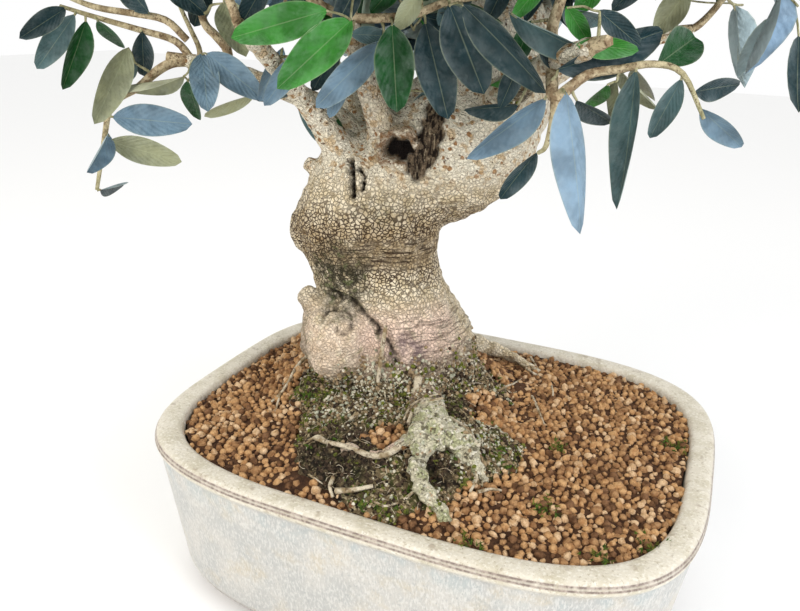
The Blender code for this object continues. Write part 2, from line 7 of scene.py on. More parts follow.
# %% The frame
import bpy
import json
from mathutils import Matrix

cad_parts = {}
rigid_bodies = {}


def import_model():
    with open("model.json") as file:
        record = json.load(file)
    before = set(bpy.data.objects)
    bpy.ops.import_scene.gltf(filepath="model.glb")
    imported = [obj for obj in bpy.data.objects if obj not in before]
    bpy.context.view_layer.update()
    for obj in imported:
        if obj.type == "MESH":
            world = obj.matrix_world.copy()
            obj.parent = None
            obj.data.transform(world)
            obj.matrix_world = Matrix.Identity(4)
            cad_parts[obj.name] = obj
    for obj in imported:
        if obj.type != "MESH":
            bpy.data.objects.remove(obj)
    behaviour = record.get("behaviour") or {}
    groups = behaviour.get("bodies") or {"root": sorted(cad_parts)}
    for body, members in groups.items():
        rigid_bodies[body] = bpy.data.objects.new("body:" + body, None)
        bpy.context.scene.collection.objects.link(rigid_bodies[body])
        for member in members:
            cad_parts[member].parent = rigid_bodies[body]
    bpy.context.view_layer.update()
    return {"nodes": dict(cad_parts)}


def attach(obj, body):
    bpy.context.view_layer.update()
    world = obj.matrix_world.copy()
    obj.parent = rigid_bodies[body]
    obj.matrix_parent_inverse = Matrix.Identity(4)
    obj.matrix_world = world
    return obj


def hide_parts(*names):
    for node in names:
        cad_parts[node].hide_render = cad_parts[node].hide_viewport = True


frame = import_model()

# %% What the work needs
import json
import math
import random

import bmesh
import bpy
from mathutils import Matrix, Vector, noise

MM = 0.001
BODY = "root"
CROWN_NODES = sorted(name for name in frame["nodes"] if name.endswith("foliage"))
LIMB_NODES = ["trunk", "leader"] + sorted(name for name in frame["nodes"] if name.endswith("bough"))
print(len(CROWN_NODES), "leaf masses,", len(LIMB_NODES), "limbs")

# %% [markdown]
# Colours are picked as sRGB hex values, the way a paint chart gives them, but a shader counts in
# linear light. One function turns the first into the second, and every colour goes through it.
# Node trees are written by one small function too: it takes the node's kind, its settings, and for
# each input either a plain value or the socket that feeds it.

# %% Colours and nodes
def linear(colour):
    """An sRGB hex colour as linear RGBA."""
    shares = [int(colour[k:k + 2], 16) / 255 for k in (1, 3, 5)]
    return (*[c / 12.92 if c <= 0.04045 else ((c + 0.055) / 1.055) ** 2.4 for c in shares], 1)


def add_node(tree, kind, settings=(), inputs=()):
    """A node with its settings, and a hex colour, a value or a link for each named or numbered input."""
    node = tree.nodes.new(kind)
    for name, value in dict(settings).items():
        setattr(node, name, value)
    for name, value in dict(inputs).items():
        if isinstance(value, bpy.types.NodeSocket):
            tree.links.new(value, node.inputs[name])
        else:
            is_hex = isinstance(value, str) and value.startswith("#")
            node.inputs[name].default_value = linear(value) if is_hex else value
    return node


def new_finish(name, **sockets):
    """A material, its node tree and its shader, with plain values on the shader's own sockets."""
    made = bpy.data.materials.new(name)
    made.use_nodes = True
    shader = made.node_tree.nodes["Principled BSDF"]
    for socket, value in sockets.items():
        shader.inputs[socket.replace("_", " ")].default_value = value
    return made, made.node_tree, shader


# %% Patterns that most finishes share
def patches(tree, size, low, high, top=1.0, mark=None, stretch=(1, 1, 1), detail=3.0):
    """Soft-edged patches about size metres across on the object, top strong, and only where mark is."""
    spot = add_node(tree, "ShaderNodeTexCoord").outputs["Object"]
    spot = add_node(tree, "ShaderNodeMapping", inputs={
        "Vector": spot, "Scale": [1 / (size * s) for s in stretch]}).outputs["Vector"]
    cloud = add_node(tree, "ShaderNodeTexNoise", inputs={
        "Vector": spot, "Scale": 1.0, "Detail": detail, "Roughness": 0.55}).outputs["Fac"]
    found = add_node(tree, "ShaderNodeMapRange", {"interpolation_type": "SMOOTHSTEP"}, {
        "Value": cloud, "From Min": low, "From Max": high, "To Min": 0.0, "To Max": top}).outputs["Result"]
    if mark is None:
        return found
    return add_node(tree, "ShaderNodeMath", {"operation": "MULTIPLY"}, {0: found, 1: mark}).outputs[0]


def laid_over(tree, under, over, size, low, high, top=1.0, mark=None, stretch=(1, 1, 1)):
    """One colour laid over another in such patches; each is a hex value or a socket."""
    return add_node(tree, "ShaderNodeMix", {"data_type": "RGBA"}, {
        0: patches(tree, size, low, high, top, mark, stretch), 6: under, 7: over}).outputs[2]


def finish_with(tree, shader, colour, height, depth):
    """Gives the shader its colour and a fine relief, depth metres from 0 to 1 of the height."""
    relief = add_node(tree, "ShaderNodeBump", inputs={"Height": height, "Distance": depth})
    tree.links.new(colour, shader.inputs["Base Color"])
    tree.links.new(relief.outputs["Normal"], shader.inputs["Normal"])


# %% Meshes
def mesh_of(name, points, faces=(), edges=(), **attributes):
    """A mesh from lists, with a value of each attribute at each point."""
    mesh = bpy.data.meshes.new(name)
    mesh.from_pydata([tuple(p) for p in points], edges, faces)
    for key, values in attributes.items():
        vector = hasattr(values[0], "__len__")
        layer = mesh.attributes.new(key, "FLOAT_VECTOR" if vector else "FLOAT", "POINT")
        flat = [c for value in values for c in value] if vector else values
        layer.data.foreach_set("vector" if vector else "value", flat)
    return mesh


def put(name, mesh, *finishes):
    """An object at the origin that shows this mesh in these materials."""
    made = bpy.data.objects.new(name, mesh)
    scene.collection.objects.link(made)
    for finish in finishes:
        mesh.materials.append(finish)
    mesh.shade_smooth()
    return made


def plain(made):
    """made with its modifiers turned into plain mesh."""
    graph = bpy.context.evaluated_depsgraph_get()
    mesh = bpy.data.meshes.new_from_object(made.evaluated_get(graph))
    made.modifiers.clear()
    old, made.data = made.data, mesh
    mesh.name = made.name
    bpy.data.meshes.remove(old)
    return made


def hand_in(made, slot, *nodes):
    """The piece rides on the object's body, and stands for the nodes it replaces."""
    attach(made, BODY)
    if nodes:
        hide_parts(*nodes)
    count = sum(len(p.vertices) - 2 for p in made.data.polygons)
    print(f"{made.name}: {count} triangles")


def mesh_from(name, bm):
    """A mesh from a bmesh, which is freed."""
    mesh = bpy.data.meshes.new(name)
    bm.to_mesh(mesh)
    bm.free()
    return mesh


def kit_of(name, meshes):
    """A collection of small models for the nodes to pick from."""
    kit = bpy.data.collections.new(name)
    for mesh in meshes:
        kit.objects.link(bpy.data.objects.new(mesh.name, mesh))
    return kit


def clear_kits(*kits):
    """Removes kits once what was made of them is plain mesh."""
    for kit in kits:
        for model in list(kit.objects):
            bpy.data.objects.remove(model)
        bpy.data.collections.remove(kit)


scene = bpy.context.scene

# %% [markdown]
# The camera stands a little to the right of the pot's long side and looks down on it, close enough
# that the far end of the pot is clearly smaller. Two helpers turn a place in its 800 x 611 frame
# into a point of the object: sight() at a given distance, sight_down() at a given height. Hanging
# leaves and loose rootlets are set out with them, and each still grows from something.

# %% The camera
EYE = Vector((0.145836, -0.423045, 0.358097))
RIGHT = Vector((0.91566522, 0.40054225, 0.03351271))
UP = Vector((-0.17485682, 0.32188103, 0.93049325))
BACK = Vector((0.36191476, -0.85788024, 0.36477281))
FRAME = (800, 611)
FOCAL = 763.05              # in the frame's own pixels
FILM = 36                   # width of the film, in millimetres

camera = bpy.data.objects.new("camera", bpy.data.cameras.new("camera"))
scene.collection.objects.link(camera)
camera.data.sensor_width, camera.data.sensor_fit = FILM, "HORIZONTAL"
camera.data.lens = FILM * FOCAL / FRAME[0]
camera.data.clip_start, camera.data.clip_end = 0.02, 20
camera.matrix_world = Matrix.Translation(EYE) @ Matrix((RIGHT, UP, BACK)).transposed().to_4x4()
scene.camera = camera


def sight(px, py, depth):
    """The point that shows at px, py, depth millimetres in front of the camera."""
    return EYE + depth * MM * ((px - FRAME[0] / 2) / FOCAL * RIGHT - (py - FRAME[1] / 2) / FOCAL * UP - BACK)


def sight_down(px, py, height):
    """The point that shows at px, py and lies height metres over the table."""
    ray = sight(px, py, 1000) - EYE
    return EYE + ray * ((height - EYE.z) / ray.z)


def shown_at(point):
    """Where a point shows in the frame: px, py."""
    way = point - EYE
    depth = -way.dot(BACK)
    return FRAME[0] / 2 + FOCAL * way.dot(RIGHT) / depth, FRAME[1] / 2 - FOCAL * way.dot(UP) / depth


print("lens", round(camera.data.lens, 2), "mm")

# %% [markdown]
# Bonsai are shown in even, bright light, against white. The world gives most of the light, so that
# no shadow is hard. One large soft panel over the camera's left shoulder and a weaker one on the
# right give the bark and the leaves their form. The floor is a wide pale sheet.

# %% Light and floor
world = bpy.data.worlds.new("white_studio")
world.use_nodes = True
backdrop = world.node_tree.nodes["Background"]
backdrop.inputs["Color"].default_value = linear("#ffffff")
backdrop.inputs["Strength"].default_value = 1.0
scene.world = world
scene.view_settings.view_transform = "Standard"
scene.view_settings.look = "None"


def add_panel(name, place, target, size, power, tint):
    """A square soft panel at place that faces target."""
    lamp = bpy.data.lights.new(name, "AREA")
    lamp.size, lamp.energy, lamp.color = size, power, linear(tint)[:3]
    panel = bpy.data.objects.new(name, lamp)
    scene.collection.objects.link(panel)
    panel.location = place
    panel.rotation_euler = (Vector(target) - Vector(place)).to_track_quat("-Z", "Y").to_euler()


TRUNK_NECK = (0, 0, 0.22)   # both panels face it
add_panel("key", (-0.55, -1.05, 1.05), TRUNK_NECK, 0.8, 10, "#fff9f0")
add_panel("fill", (1.1, -0.5, 0.7), TRUNK_NECK, 0.6, 8, "#f6f8ff")

floor_paint, tree, shader = new_finish("floor_paper", Base_Color=linear("#f4f4f3"), Roughness=0.9)
FLOOR_HALF = 4
corners = [(FLOOR_HALF * x, FLOOR_HALF * y, 0) for x, y in ((-1, -1), (1, -1), (1, 1), (-1, 1))]
floor = put("floor", mesh_of("floor", corners, [(0, 1, 2, 3)]), floor_paint)
print("panels: key and fill")

# %% [markdown]
# The tree has its own terms: u to the right and v away from a person who looks at its front, z up,
# in millimetres, from the middle of its foot. It is planted at a slight turn in the pot. The same
# terms laid out the solids, so what is grown here lands where they are.

# %% The tree's own terms
TREE_FOOT = Vector((-42, 20, 0)) * MM
TREE_TURN = Matrix.Rotation(math.radians(23), 3, "Z")


def at(u, v, z):
    """A point of the tree in the object's frame."""
    return TREE_FOOT + TREE_TURN @ Vector((u, v, z)) * MM


def tree_terms(point):
    """u, v and z of a point of the object's frame, in millimetres."""
    return (TREE_TURN.transposed() @ (point - TREE_FOOT)) / MM


def step(low, high, value):
    """0 under low, 1 over high, smooth between."""
    t = min(1.0, max(0.0, (value - low) / (high - low)))
    return t * t * (3 - 2 * t)


def spline(points, steps):
    """Points along a smooth curve through the given ones (Catmull-Rom), as vectors of any length."""
    points = [Vector(p) for p in points]
    padded = [2 * points[0] - points[1], *points, 2 * points[-1] - points[-2]]
    curve = []
    for k in range(1, len(padded) - 2):
        a, b, c, d = padded[k - 1:k + 3]
        for t in (n / steps for n in range(steps)):
            curve.append(0.5 * (2 * b + (c - a) * t + (2 * a - 5 * b + 4 * c - d) * t ** 2
                                + (3 * b - a - 3 * c + d) * t ** 3))
    return [*curve, points[-1]]


def loft(bm, rings):
    """Skin over rings of equal count, closed with a flat cap at both ends."""
    loops = [[bm.verts.new(point) for point in ring] for ring in rings]
    for low, high in zip(loops, loops[1:]):
        for i in range(len(low)):
            bm.faces.new((low[i], low[i - 1], high[i - 1], high[i]))
    bm.faces.new(loops[0])
    bm.faces.new(reversed(loops[-1]))


def tube(bm, path, radii, sides):
    """A tapering limb round a path."""
    rings, normal = [], None
    for i, point in enumerate(path):
        ahead = (path[min(i + 1, len(path) - 1)] - path[max(i - 1, 0)]).normalized()
        normal = normal or ahead.orthogonal()
        normal = (normal - normal.dot(ahead) * ahead).normalized()
        across = ahead.cross(normal)
        rings.append([point + radii[i] * (math.cos(t) * normal + math.sin(t) * across)
                      for t in (2 * math.pi * k / sides for k in range(sides))])
    loft(bm, rings)


def limb_line(limb, steps=6):
    """Path and radii of a limb that is given as points and radii in millimetres."""
    path = spline([at(*point) for point, _ in limb], steps)
    return path, [r.x * MM for r in spline([(radius, 0, 0) for _, radius in limb], steps)]


print("trunk foot at", tuple(round(c, 3) for c in TREE_FOOT))

# %% [markdown]
# An old olive's trunk is a swollen, muscular column: it flares into the root ball, bulges where
# buds have clustered for decades, narrows at a neck and turns into one heavy arm that carries the
# top. Lofted rings give the column, and tubes the arm, the roots and the boughs. A voxel remesh
# melts them into one skin, as cambium grows over a joint, and the skin is then pushed in and out.

# %% The trunk's measures
COLUMN = (                  # height, middle in u and v, half width, half depth
    (100, 2, 0, 66, 60), (117, 1, 0, 60, 55), (128, 0, 0, 56, 51), (140, -1, 0, 54.5, 49),
    (153, -2, 1, 53, 48), (166, -5, 2, 48.5, 45), (180, -10, 2, 45.5, 42), (194, -16, 2, 43.5, 40),
    (207, -19, 1, 43.5, 40), (217, -21, 0, 46.5, 42), (227, -22, -2, 48.5, 44), (239, -21, -3, 46.5, 43),
    (251, -19, -4, 43.5, 40), (263, -18, -4, 39, 36), (275, -18, -3, 31, 29), (284, -18, -2, 19, 18))
ELBOW = (((-16, -2, 246), 38), ((10, -1, 266), 42), ((35, 1, 284), 46), ((50, 3, 311), 39),
         ((53, 5, 338), 32), ((51, 5, 360), 27))
SURFACE_ROOTS = (
    (((10, -38, 129), 12), ((20, -64, 129), 10), ((20, -92, 131), 11), ((13, -118, 125), 5.6),
     ((18, -140, 119), 4.4), ((32, -152, 108), 2.8)),
    (((22, -88, 130), 8), ((38, -106, 127), 6), ((47, -114, 119), 4.6), ((52, -119, 110), 3.2)),
    (((10, -98, 126), 6), ((-6, -110, 121), 3.0), ((-28, -99, 118), 2.4), ((-48, -77, 110), 2.1)),
    (((-46, 28, 132), 6), ((-60, 24, 122), 4), ((-70, 0, 115), 3.2), ((-82, -28, 105), 2.4)),
    (((40, 34, 130), 9), ((67, 41, 123), 6.5), ((84, 39, 118), 5), ((105, 36, 108), 3.5)))
LUMPS = (((-37, -20, 154), (27, 31, 32)), ((-60, -4, 224), (12.5, 14.5, 16.5)))
STUBS = (((-50, -18, 172), (-61, -22, 186), 6.3), ((-48, -8, 258), (-61, -12, 267), 4.8),
         ((0, -28, 279), (-3, -41, 281), 12))
BOUGHS = {
    "leader": (((51, 5, 356), 27), ((46, 6, 385), 19), ((37, 6, 415), 14), ((26, 5, 446), 9.5),
        ((16, 4, 474), 6)),
    "front_bough": (((-8, -20, 278), 12), ((-18, -30, 304), 8), ((-28, -38, 335), 6),
        ((-34, -48, 364), 5), ((-32, -60, 392), 4)),
    "left_bough": (((-26, 0, 276), 10), ((-52, 0, 299), 7), ((-78, 2, 309), 6.2),
        ((-106, 2, 318), 5.2), ((-131, 0, 323), 4.2)),
    "front_left_bough": (((-34, -12, 266), 9), ((-58, -34, 306), 6.5), ((-70, -60, 327), 5.5),
        ((-78, -84, 342), 4.5)),
    "front_right_bough": (((48, -22, 300), 13), ((62, -56, 322), 8.5), ((72, -82, 335), 6.5),
        ((84, -106, 343), 5)),
    "right_bough": (((70, 6, 318), 13), ((104, 4, 334), 8), ((130, 0, 342), 6.2), ((152, -4, 348), 4.8)),
    "back_right_bough": (((62, 22, 326), 12), ((82, 56, 346), 8.5), ((94, 82, 358), 6.5),
        ((100, 98, 364), 5)),
    "back_left_bough": (((-22, 18, 262), 12), ((-44, 50, 306), 8.5), ((-66, 80, 335), 6.5),
        ((-80, 98, 350), 5)),
    "upper_left_bough": (((36, 4, 408), 10), ((6, -2, 426), 7.5), ((-26, -6, 440), 6),
        ((-52, -8, 450), 4.8)),
    "upper_right_bough": (((46, 8, 386), 11), ((72, 14, 412), 7.5), ((86, 16, 434), 6),
        ((92, 16, 452), 4.8)),
    "upper_back_bough": (((44, 8, 392), 11), ((34, 44, 420), 7.5), ((18, 70, 440), 6),
        ((8, 84, 452), 4.8)),
}
TRUNK_SKIN, LIMB_SKIN = 1.45 * MM, 1.05 * MM     # size of the remeshed facets
COLUMN_SIDES = 48
BOUGH_ROOT = 9               # points of each bough that melt into the trunk


def trunk_rough():
    """The trunk as overlapping closed lofts."""
    bm = bmesh.new()
    rings = []
    for z, u, v, half_width, half_depth in spline(COLUMN, 3):
        flare = 0.07 * (1 - step(105, 175, z))
        ring = []
        for turn in (2 * math.pi * k / COLUMN_SIDES for k in range(COLUMN_SIDES)):
            swell = 1 + flare * math.cos(5 * turn + 0.8)
            ring.append(at(u + half_width * swell * math.cos(turn),
                           v + half_depth * swell * math.sin(turn), z))
        rings.append(ring)
    loft(bm, rings)
    for limb in (ELBOW, *SURFACE_ROOTS):
        tube(bm, *limb_line(limb), 24)
    for foot, tip, radius in STUBS:
        tube(bm, *limb_line(((foot, radius * 1.2), (tip, radius)), 1), 16)
    for middle, reach in LUMPS:
        lump = bmesh.ops.create_icosphere(bm, subdivisions=3, radius=1)
        for vert in lump["verts"]:
            vert.co = at(*(m + c * r for m, c, r in zip(middle, vert.co, reach)))
    for name, limb in BOUGHS.items():
        if name != "leader":
            path, radii = limb_line(limb)
            radii = [r * (1.3 - 0.55 * k / BOUGH_ROOT) for k, r in enumerate(radii[:BOUGH_ROOT])]
            tube(bm, path[:BOUGH_ROOT], radii, 16)
    return bm


def limbs_rough():
    """The boughs as closed tubes that start inside the trunk."""
    bm = bmesh.new()
    for limb in BOUGHS.values():
        path, radii = limb_line(limb)
        tube(bm, path, radii, 20)
        tip = Matrix.Translation(path[-1])
        bmesh.ops.create_icosphere(bm, subdivisions=2, radius=radii[-1] * 0.98, matrix=tip)
    return bm


def skinned(name, bm, size, rounds):
    """One even skin over overlapping solids, with its joints melted together."""
    bmesh.ops.recalc_face_normals(bm, faces=bm.faces)
    made = put(name, mesh_from(name, bm))
    skin = made.modifiers.new("skin", "REMESH")
    skin.mode, skin.voxel_size = "VOXEL", size
    melt = made.modifiers.new("melt", "SMOOTH")
    melt.factor, melt.iterations = 0.5, rounds
    return plain(made)


trunk = skinned("bark_trunk", trunk_rough(), TRUNK_SKIN, 8)
limbs = skinned("bark_boughs", limbs_rough(), LIMB_SKIN, 3)
print("skins:", len(trunk.data.polygons), len(limbs.data.polygons), "quads")

# %% [markdown]
# Bark relief comes in sizes: broad muscle a few centimetres wide, wrinkles where the wood folds on
# itself, pebbles of a few millimetres, and single wounds. The broad ones move the mesh here, point
# by point, along its normal. Each point also keeps how much moss, dirt, blush, dead wood or hollow
# it has, and where shade is painted on it, and the finish reads those back.

# %% The bark's wounds and folds, in the tree's terms
SLITS = (((-30.5, 0, 272), (-29.5, 0, 265), (-28.8, 0, 254)),   # seen from the front, so without depth
         ((-26, 0, 269), (-22.5, 0, 265), (-23.5, 0, 258)))
CREASE = ((-48, -28, 188), (-37, -34, 186), (-30.7, -35, 185.8), (-25.5, -36.8, 181.3), (-19, -39.4, 175.8),
          (-12.5, -41.7, 168.9), (-5.9, -43.6, 161.8), (0, -47, 150))
LOWER_CREASE = ((14, -47, 150), (22, -45, 146), (30, -41, 148), (34, -38, 155))
DEAD_STRIP = ((17, -33, 306), (16, -39, 293), (12, -43, 281), (7, -43, 272))
SCAR = (-3.5, 282)                 # u and z of a healed cut, and its half width and height
SCAR_REACH = (10.5, 8.5)
SWIRL = (-36, 172)                 # u and z of an ear of bark rolled up on the burl
TRUNK_FOOT = (58, 53)              # half width and half depth of the trunk at the soil


def gap(point, line):
    """Distance from a point to a line of points, in millimetres."""
    best = 1e9
    for a, b in zip(line, line[1:]):
        a, b = Vector(a), Vector(b)
        along = b - a
        t = min(1.0, max(0.0, (point - a).dot(along) / along.length_squared))
        best = min(best, (point - a - along * t).length_squared)
    return math.sqrt(best)


def waves(point, size, seed):
    """Even noise from -1 to 1 with lumps about size millimetres across."""
    return noise.noise(point / size + Vector((seed, 7.3 * seed, 0)))


def bark_at(p):
    """Relief in millimetres and the marks of a point of the bark.

    A step() of u, v or z says where on the tree a shape fades in or out, and waves() make it ragged.
    """
    u, v, z = p
    front = step(-5, -25, v) if v > -25 else 1.0
    low = 1 - step(166, 192, z)
    neck = step(180, 204, z) * (1 - step(232, 262, z))
    ragged = 6 * waves(p, 10, 15) + 3 * waves(p, 4, 16)
    rise = 2.8 * waves(p, 26, 1) + 1.5 * waves(p, 11, 2) + 1.0 * waves(p, 5.5, 3)
    # Folds round the neck, wrinkles on the foot's right side and knots on its left.
    folds = step(203, 210, z) * (1 - step(222, 230, z)) * front * step(-44, -26, u)
    rise -= 1.1 * abs(math.sin(z * 0.62 + 2.2 * waves(p, 18, 4))) ** 0.6 * folds
    lines = abs(math.sin((z - 0.3 * u) * 0.55 + 3.0 * waves(p, 22, 5))) ** 0.5
    wrinkled = low * step(-8, 8, u) * step(136, 146, z)
    rise -= 1.3 * lines * wrinkled
    rise += 2.8 * max(0.0, waves(p, 9, 6)) * low * (1 - step(-20, -8, u))
    # How deep a point lies in a slit, crease, fold or pit; the finish paints these hollows near-black as
    # shade.
    hollow = 0.0
    # Two slits in the neck, each in a soft lip.
    if v < 0 and 248 < z < 280 and u < -14:
        seen = Vector((u, 0, z))
        near = min(gap(seen, SLITS[0]), gap(seen, SLITS[1]) + 0.5) + 1.1 * waves(p, 2.6, 7)
        hollow = 1 - step(0.9, 2.0, near)
        rise -= 4.5 * hollow - 1.3 * (1 - step(2.6, 6.0, near)) * step(1.6, 2.6, near)
    # The crease where the burl meets the column, and the spiral fold on the burl.
    if v < 5 and 140 < z < 196:
        near = min(gap(p, CREASE), gap(p, LOWER_CREASE) + 1.0)
        rise -= 4.6 * (1 - step(0.5, 4.8, near + 1.4 * waves(p, 5, 8)))
        hollow = max(hollow, 0.95 * (1 - step(0.3, 3.2, near + 2.2 * waves(p, 3.5, 9))))
    if v < 0 and u < -14 and 142 < z < 190:
        right, over = u - SWIRL[0], z - SWIRL[1]
        away, turn = math.hypot(right, over), math.atan2(over, right)
        fold = 1 - step(0.3, 1.7, abs(away - 7.0 - 1.6 * turn + 1.6 * waves(p, 6, 27)))
        rise -= 2.0 * fold
        hollow = max(hollow, 0.7 * fold * step(-0.5, 0.1, waves(p, 5, 28)))
    dead, rust = 0.0, 0.0
    # The elbow: a strip of dead wood, the scar in its collar of new bark, and flutes beside them.
    if v < -16 and z > 256:
        near = gap(p, DEAD_STRIP) + 3.2 * waves(p, 6, 10) + 1.6 * waves(p, 2.6, 17)
        dead = 1 - step(6.4, 8.2, near)
        rise -= dead * (1.8 + 1.4 * abs(math.sin(u * 1.3 + 3 * waves(p, 12, 11))))
        across, over = (abs((c - middle) / reach) ** 3 for c, middle, reach in zip((u, z), SCAR, SCAR_REACH))
        away = (across + over) ** (1 / 3) + 0.4 * waves(p, 4.5, 18)
        if v < -26 and away < 2.2:
            rise += 2.8 * (1 - step(0.05, 0.42, abs(away - 1.05)))
            pit = 1 - step(0.5, 0.85, away)
            rise -= 6.0 * pit
            hollow = max(hollow, pit)
            rust = (1 - step(0.95, 1.5, away)) * (1 - 0.5 * pit)
        flutes = step(0, -10, u) * step(282, 292, z)
        rise -= 1.2 * abs(math.sin(u * 0.9 + 2 * waves(p, 16, 19))) * flutes * (1 - dead)
        rust = max(rust, 0.25 * flutes * (1 - step(-34, -46, u)))
    # The roots that run out past the foot: a lichened claw in front, and the mossy shank behind it.
    beyond = step(1.06, 1.22, math.hypot(u / TRUNK_FOOT[0], v / TRUNK_FOOT[1]))
    claw = beyond * step(-66, -76, v + 0.5 * waves(p, 8, 24)) * step(-2, 6, u)
    shank = beyond * step(-50, -56, v) * step(-2, 6, u) * (1 - claw)
    rough = 1 - step(128, 156, z + 5 * waves(p, 14, 12))
    rise += claw * (3.0 * waves(p, 10, 20) + 2.4 * waves(p, 4.5, 22))
    rise += rough * (2.2 * waves(p, 7, 13) + 0.9 * waves(p, 3.4, 14)) * (1 - 0.5 * beyond)
    # What grows and lies on the bark, the colours that it takes, and the shade painted on it.
    moss = max((1 - step(133, 161, z + ragged)) * (1 - beyond * (1 - 0.1 * claw)), 0.9 * shank)
    lichen = claw * (1 - step(146, 156, z))
    # A dark green stain at the left of the neck: partly algae, partly painted shade of the undercut there.
    stain_and_shade = (1 - step(7, 27, math.hypot(u + 38, (z - 200) * 0.85) + 1.3 * ragged)) * front
    green = max(stain_and_shade, 0.3 * (1 - step(4, 26, math.hypot(u + 14, (z - 246) * 1.8) + ragged)) * front,
                0.6 * (1 - step(-62, -50, u + 0.4 * ragged)) * low)
    blush = low * front * (1 - 0.5 * step(20, 40, abs(u - 6) + ragged))
    purple = low * (1 - step(4, 17, math.hypot(u - 10, (z - 155) * 1.3) + 1.4 * ragged)) * front
    upper = step(252, 274, z)
    # A brown band round the neck under the elbow, and the folds: partly the bark's own tint, partly painted
    # shade.
    umber = max(step(196, 212, z) * (1 - step(228, 252, z + ragged)), 0.9 * folds * step(-24, 0, u)) * front
    # Darker at the neck, lighter up the arm and low down: partly dirt, partly painted shade under the elbow
    # and between the pebbles.
    dirt = 0.4 + 0.6 * neck - 0.34 * upper - 0.14 * low
    dirt = dirt * (1 - 0.5 * folds) * (1 - 0.4 * low * step(-14, -24, u))
    return rise, (hollow, dead, moss, lichen, green, blush, purple, rust, max(folds, 0.6 * wrinkled),
                  upper, min(1.0, max(0.0, dirt)), umber)


MARKS = ("hollow", "dead", "moss", "lichen", "green", "blush", "purple", "rust", "wrinkled", "upper",
         "dirt", "umber")


def carve(made, depth):
    """Moves the skin by the bark's relief, and keeps the marks as attributes."""
    mesh = made.data
    found = []
    for vert, normal in zip(mesh.vertices, [n.vector.copy() for n in mesh.vertex_normals]):
        rise, marks = bark_at(tree_terms(vert.co))
        vert.co += normal * rise * depth * MM
        found.append(marks)
    for k, name in enumerate(MARKS):
        layer = mesh.attributes.new(name, "FLOAT", "POINT")
        layer.data.foreach_set("value", [marks[k] for marks in found])
    mesh.update()


carve(trunk, 1.0)
carve(limbs, 0.3)
print("carved", len(trunk.data.vertices) + len(limbs.data.vertices), "points")

# %% [markdown]
# Olive bark on old wood is pale and matt. On the upper arm it is smooth cream with rust-brown
# lenticels, the corky pores a tree breathes through. At the neck the pores have swollen into close
# pebbles with brown dirt between them. Low down it blushes pink where it has rubbed bare, and the
# foot is lost in moss and grey lichen. Each sort is a colour laid over the last by its own mark, and
# painted shade darkens the grooves, the neck under the elbow, the folds, the wrinkles and hollows.

# %% Olive bark
bark, tree, shader = new_finish("olive_bark", Roughness=0.85, IOR=1.45)
shader.inputs["Specular IOR Level"].default_value = 0.25
marks = {name: add_node(tree, "ShaderNodeAttribute", {"attribute_name": name}).outputs["Fac"]
         for name in MARKS}
spot = add_node(tree, "ShaderNodeTexCoord").outputs["Object"]
uneven = add_node(tree, "ShaderNodeTexNoise", inputs={
    "Vector": spot, "Scale": 1 / (4 * MM), "Detail": 2.0}).outputs["Color"]
uneven = add_node(tree, "ShaderNodeMix", {"data_type": "VECTOR"}, {0: 0.0024, 4: spot, 5: uneven}).outputs[1]
pebble = add_node(tree, "ShaderNodeTexVoronoi", {"feature": "DISTANCE_TO_EDGE"}, {
    "Vector": uneven, "Scale": 1 / (2.4 * MM)}).outputs["Distance"]
groove = add_node(tree, "ShaderNodeMapRange", {"interpolation_type": "SMOOTHSTEP"}, {
    "Value": pebble, "From Min": 0.15, "From Max": 0.02}).outputs["Result"]
# The grooves between the pebbles, darkened: dirt with painted shade.
groove_dirt_and_shade = add_node(tree, "ShaderNodeMath", {"operation": "MULTIPLY"}, {0: groove, 1: marks["dirt"]}).outputs[0]

colour = laid_over(tree, "#f6e8cb", "#e0ceaa", 7 * MM, 0.42, 0.6)
colour = laid_over(tree, colour, "#faf2dd", 16 * MM, 0.25, 0.5, 0.85, marks["upper"])
colour = laid_over(tree, colour, "#ffe0cc", 8 * MM, 0.25, 0.5, 0.9, marks["blush"])
# Brown patches, most at the neck: partly dirt, partly painted shade under the elbow.
colour = laid_over(tree, colour, "#927a55", 5 * MM, 0.5, 0.64, 0.6, marks["dirt"])
# Brown under the elbow and in the folds: partly the bark's tint, partly painted shade.
colour = laid_over(tree, colour, "#94784f", 11 * MM, 0.15, 0.5, 0.62, marks["umber"])
# Near-black in the grooves between the pebbles: painted shade, with some dirt.
colour = laid_over(tree, colour, "#3f2d1e", 12 * MM, 0.05, 0.45, 1.0, groove_dirt_and_shade)
pores = add_node(tree, "ShaderNodeTexVoronoi", {"feature": "F1"}, {
    "Vector": uneven, "Scale": 1 / (5.0 * MM)}).outputs["Distance"]
pores = add_node(tree, "ShaderNodeMapRange", {"interpolation_type": "SMOOTHSTEP"}, {
    "Value": pores, "From Min": 0.36, "From Max": 0.24}).outputs["Result"]
pores = add_node(tree, "ShaderNodeMath", {"operation": "MULTIPLY"}, {0: pores, 1: marks["upper"]}).outputs[0]
colour = laid_over(tree, colour, "#a87a4a", 8 * MM, 0.4, 0.54, 0.95, pores)
colour = laid_over(tree, colour, "#cdac7c", 6 * MM, 0.52, 0.62, 0.7, marks["upper"])
colour = laid_over(tree, colour, "#6b4c31", 2.4 * MM, 0.62, 0.67, 0.9, marks["upper"])
colour = laid_over(tree, colour, "#4c3522", 1.6 * MM, 0.63, 0.68, 0.6)
# Dark lines along the wrinkles and folds are painted shade.
colour = laid_over(tree, colour, "#3d2b1e", 2.0 * MM, 0.53, 0.6, 0.85, marks["wrinkled"], (7, 7, 0.8))
